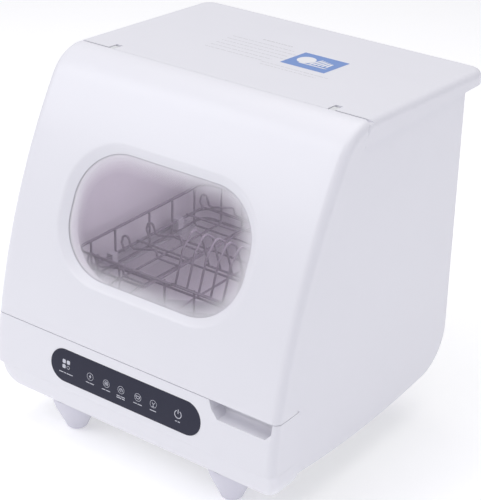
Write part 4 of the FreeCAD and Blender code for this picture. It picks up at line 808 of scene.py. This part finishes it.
def rounded_square(cx, cz, half, corner=0.9):
    """Outline of a small square with cut corners."""
    a, b = half, half - corner
    corners = ((b, -a), (a, -b), (a, b), (b, a), (-b, a), (-a, b), (-a, -b), (-b, -a))
    return [(cx + u, cz + v) for u, v in corners]


def ring_parts(cx, cz, radius, width, start=0.0, end=360.0, steps=28):
    """Quads that make a ring, or the part of it between two angles measured from the top."""
    parts = []
    for k in range(steps):
        a, b = (math.radians(start + (end - start) * t / steps) for t in (k, k + 1))
        parts.append([(cx + r * math.sin(t), cz + r * math.cos(t))
                      for t, r in ((a, radius), (b, radius), (b, radius - width), (a, radius - width))])
    return parts


def bar_shape(x0, x1, z0, z1):
    return [(x0, z0), (x1, z0), (x1, z1), (x0, z1)]


def caption_bars(cx, z, lengths, height=1.0, gap=1.0):
    """A generic caption: short bars in a row, centred."""
    total = sum(lengths) + gap * (len(lengths) - 1)
    x = cx - total / 2
    bars = []
    for length in lengths:
        bars.append(bar_shape(x, x + length, z - height / 2, z + height / 2))
        x += length + gap
    return bars


MODE_X, POWER_X, ICON_Z = -93.0, 77.0, 116.0
BOLT = [(0.8, 4.2), (-2.4, -0.5), (-0.3, -0.5), (-1.0, -4.2), (2.4, 0.8), (0.3, 0.8)]


def programme_sign(kind, cx):
    """What stands inside a programme icon's ring."""
    if kind == "bolt":
        return [[(cx + u * 0.75, ICON_Z + v * 0.75) for u, v in BOLT]]
    if kind == "cross":
        ticks = [bar_shape(cx + d, cx + d + 0.8, z, z + 1.8)
                 for z in (116.9, 113.3) for d in (-2.2, -0.4, 1.4)]
        return [bar_shape(cx - 3.0, cx + 3.0, 115.6, 116.4)] + ticks
    if kind == "leaf":
        arch = ring_parts(cx, 115.4, 2.7, 0.6, -120, 120, 14)
        return arch + [bar_shape(cx - 0.35, cx + 0.35, 113.2, 117.0)]
    if kind == "dish":
        bowl = ring_parts(cx, 117.0, 3.2, 0.7, 90, 270, 14)
        return bowl + [bar_shape(cx - 3.4, cx + 3.4, 117.0, 117.7)]
    stem = [bar_shape(cx - 0.35, cx + 0.35, 112.8, 116.2), bar_shape(cx - 1.8, cx + 1.8, 112.5, 113.1)]
    return stem + ring_parts(cx, 118.0, 2.1, 0.6, 90, 270, 10)


def display_icons():
    """Programme icons on the lens, with plain bars for their captions."""
    shapes = [rounded_square(MODE_X + dx, 118.5 + dz, 2.5)
              for dx, dz in ((-3.3, 3.3), (3.3, 3.3), (-3.3, -3.3))]
    shapes += ring_parts(MODE_X + 3.3, 115.2, 2.3, 0.5, steps=16)
    shapes += caption_bars(MODE_X, 107.0, (6.5, 3.2, 9.5))
    for cx, kind in ((-55.0, "bolt"), (-30.0, "cross"), (-7.5, "leaf"), (18.0, "dish"), (41.0, "glass")):
        shapes += ring_parts(cx, ICON_Z, 4.9, 0.45) + programme_sign(kind, cx)
        shapes += caption_bars(cx, 107.6, (5.2, 6.4) if kind != "glass" else (9.0,))
        if kind == "leaf":
            shapes += caption_bars(cx, 105.2, (7.0, 4.4))
    shapes += ring_parts(POWER_X, 116.5, 5.2, 0.95, 28, 332, 34)
    shapes.append(bar_shape(POWER_X - 0.5, POWER_X + 0.5, 117.3, 122.6))
    shapes += caption_bars(POWER_X, 107.4, (2.6, 3.2), 1.1)
    flat_shapes("display_icons", shapes, panel_face, PALE_INK, "cabinet")


def text_rows(name, rows, seed):
    """Rows of plain dashes on the top cover, where a note is printed."""
    spread = random.Random(seed)
    shapes = []
    for x0, x1, depth, height in rows:
        x = x0
        while x < x1:
            length = spread.uniform(2.4, 8.0)
            shapes.append(bar_shape(x, min(x + length, x1), depth - height / 2, depth + height / 2))
            x += length + spread.uniform(1.0, 1.7)
    flat_shapes(name, shapes, slab_face, GREY_INK, "cabinet")


NOTE_LEFT, NOTE_SEED = -84, 7


def top_marks():
    """The note's rows of dashes, and a blue field with a plate and a ribbed tray on it."""
    title = [(-48, -4, 318, 1.7)]
    note = [(NOTE_LEFT, NOTE_LEFT + run, depth, 1.0) for run, depth in (
        (92, 304), (104, 293), (98, 282), (106, 271), (90, 260), (84, 249))]
    footnote = [(2, 96, 246, 0.9), (6, 84, 238, 0.9)]
    text_rows("printed_notes", title + note + footnote, NOTE_SEED)
    field = [(19, 259), (81, 259), (83, 311), (20, 311)]
    flat_shapes("sticker_field", [field], slab_face, BLUE_INK, "cabinet")
    plate = [(38 + 11.5 * math.sin(math.radians(a)), 287 + 12.5 * math.cos(math.radians(a)))
             for a in range(0, 360, 15)]
    ribs = [[(48 + k * 5.2, 276 + k * 0.8), (51.2 + k * 5.2, 276 + k * 0.8),
             (55.5 + k * 4.2, 298 - k * 1.2), (52.6 + k * 4.2, 298 - k * 1.2)] for k in range(5)]
    tray = [(36, 272.5), (72, 272.5), (76, 275), (36, 275)]
    flat_shapes("sticker_dishes", [plate] + ribs + [tray], lambda x, d: slab_face(x, d, 0.12), WHITE_INK,
                "cabinet")


door_skin()
frit_dots()
window_bead()
basket()
cup_shelf()
display_icons()
top_marks()

# ---------------------------------------------------------------- camera, light and floor
CAMERA_PLACE = (1.00136, -1.34515, 1.05532)
CAMERA_LENS = 110.8
azimuth, elevation, roll = (math.radians(a) for a in (36.49, 26.53, 1.06))
back = Vector((math.sin(azimuth) * math.cos(elevation), -math.cos(azimuth) * math.cos(elevation),
               math.sin(elevation)))
right = Vector((math.cos(azimuth), math.sin(azimuth), 0))
up = back.cross(right)
across = right * math.cos(roll) + up * math.sin(roll)
upright = up * math.cos(roll) - right * math.sin(roll)
camera_data = bpy.data.cameras.new("camera")
camera = bpy.data.objects.new("camera", camera_data)
bpy.context.scene.collection.objects.link(camera)
camera.matrix_world = Matrix.Translation(CAMERA_PLACE) @ \
    Matrix((across, upright, back)).transposed().to_4x4()
camera_data.sensor_width = 36.0
camera_data.lens = CAMERA_LENS
camera_data.clip_start = 0.05
camera_data.clip_end = 50.0
bpy.context.scene.camera = camera

floor_mesh = bpy.data.meshes.new("floor")
floor_mesh.from_pydata([(-9, -9, 0), (9, -9, 0), (9, 9, 0), (-9, 9, 0)], [], [(0, 1, 2, 3)])
floor = bpy.data.objects.new("floor", floor_mesh)
floor.location.z = -0.0004
bpy.context.scene.collection.objects.link(floor)
floor_material, floor_tree, floor_shader, floor_place = start_material("pale_floor", Roughness=0.9)
floor_shader.inputs["Emission Color"].default_value = (1, 1, 1, 1)
floor_shader.inputs["Emission Strength"].default_value = 0.27
floor_tint = blend_colours(floor_tree, noise(floor_tree, floor_place, 3.0), (0.93, 0.93, 0.93, 1),
                           (0.91, 0.91, 0.915, 1))
wire_in(floor_tree, floor_shader.inputs["Base Color"], floor_tint)
floor_mesh.materials.append(floor_material)


def softbox(name, place, target, size, power, tint):
    light = bpy.data.lights.new(name, "AREA")
    light.shape = "RECTANGLE"
    light.size, light.size_y = size
    light.energy = power
    light.color = tint
    lamp = bpy.data.objects.new(name, light)
    bpy.context.scene.collection.objects.link(lamp)
    lamp.location = place
    lamp.rotation_euler = (Vector(place) - Vector(target)).to_track_quat("Z", "Y").to_euler()


softbox("key_left", (-1.3, -1.7, 2.0), (0, 0, 0.25), (1.8, 1.8), 26.5, (0.97, 0.975, 1.0))
softbox("top_sheet", (0.0, 0.3, 2.3), (0, 0, 0.3), (2.4, 2.4), 24.5, (1.0, 0.99, 0.965))
softbox("fill_right", (2.2, -0.5, 0.9), (0.1, 0, 0.2), (1.6, 1.6), 6.2, (0.88, 0.88, 1.0))
# soft light in the tub, so that its walls read through the tinted pane
glow = bpy.data.lights.new("cavity_glow", "POINT")
glow.energy = 0.8
glow.shadow_soft_size = 0.06
glow.color = (1.0, 0.97, 1.0)
cavity = bpy.data.objects.new("cavity_glow", glow)
cavity.location = at(30, 190, 310)
bpy.context.scene.collection.objects.link(cavity)
cavity.visible_camera = False
cavity.visible_glossy = False

world = bpy.data.worlds.new("studio")
world.use_nodes = True
sky = world.node_tree
sky.nodes["Background"].inputs["Color"].default_value = (0.94, 0.94, 1.0, 1)
seen = sky.nodes.new("ShaderNodeLightPath").outputs["Is Camera Ray"]
SKY_LIGHT, SKY_EXTRA_SEEN = 0.46, 0.6
strength = maths(sky, "ADD", maths(sky, "MULTIPLY", seen, SKY_EXTRA_SEEN), SKY_LIGHT)
sky.links.new(strength, sky.nodes["Background"].inputs["Strength"])
bpy.context.scene.world = world
bpy.context.scene.view_settings.view_transform = "Standard"
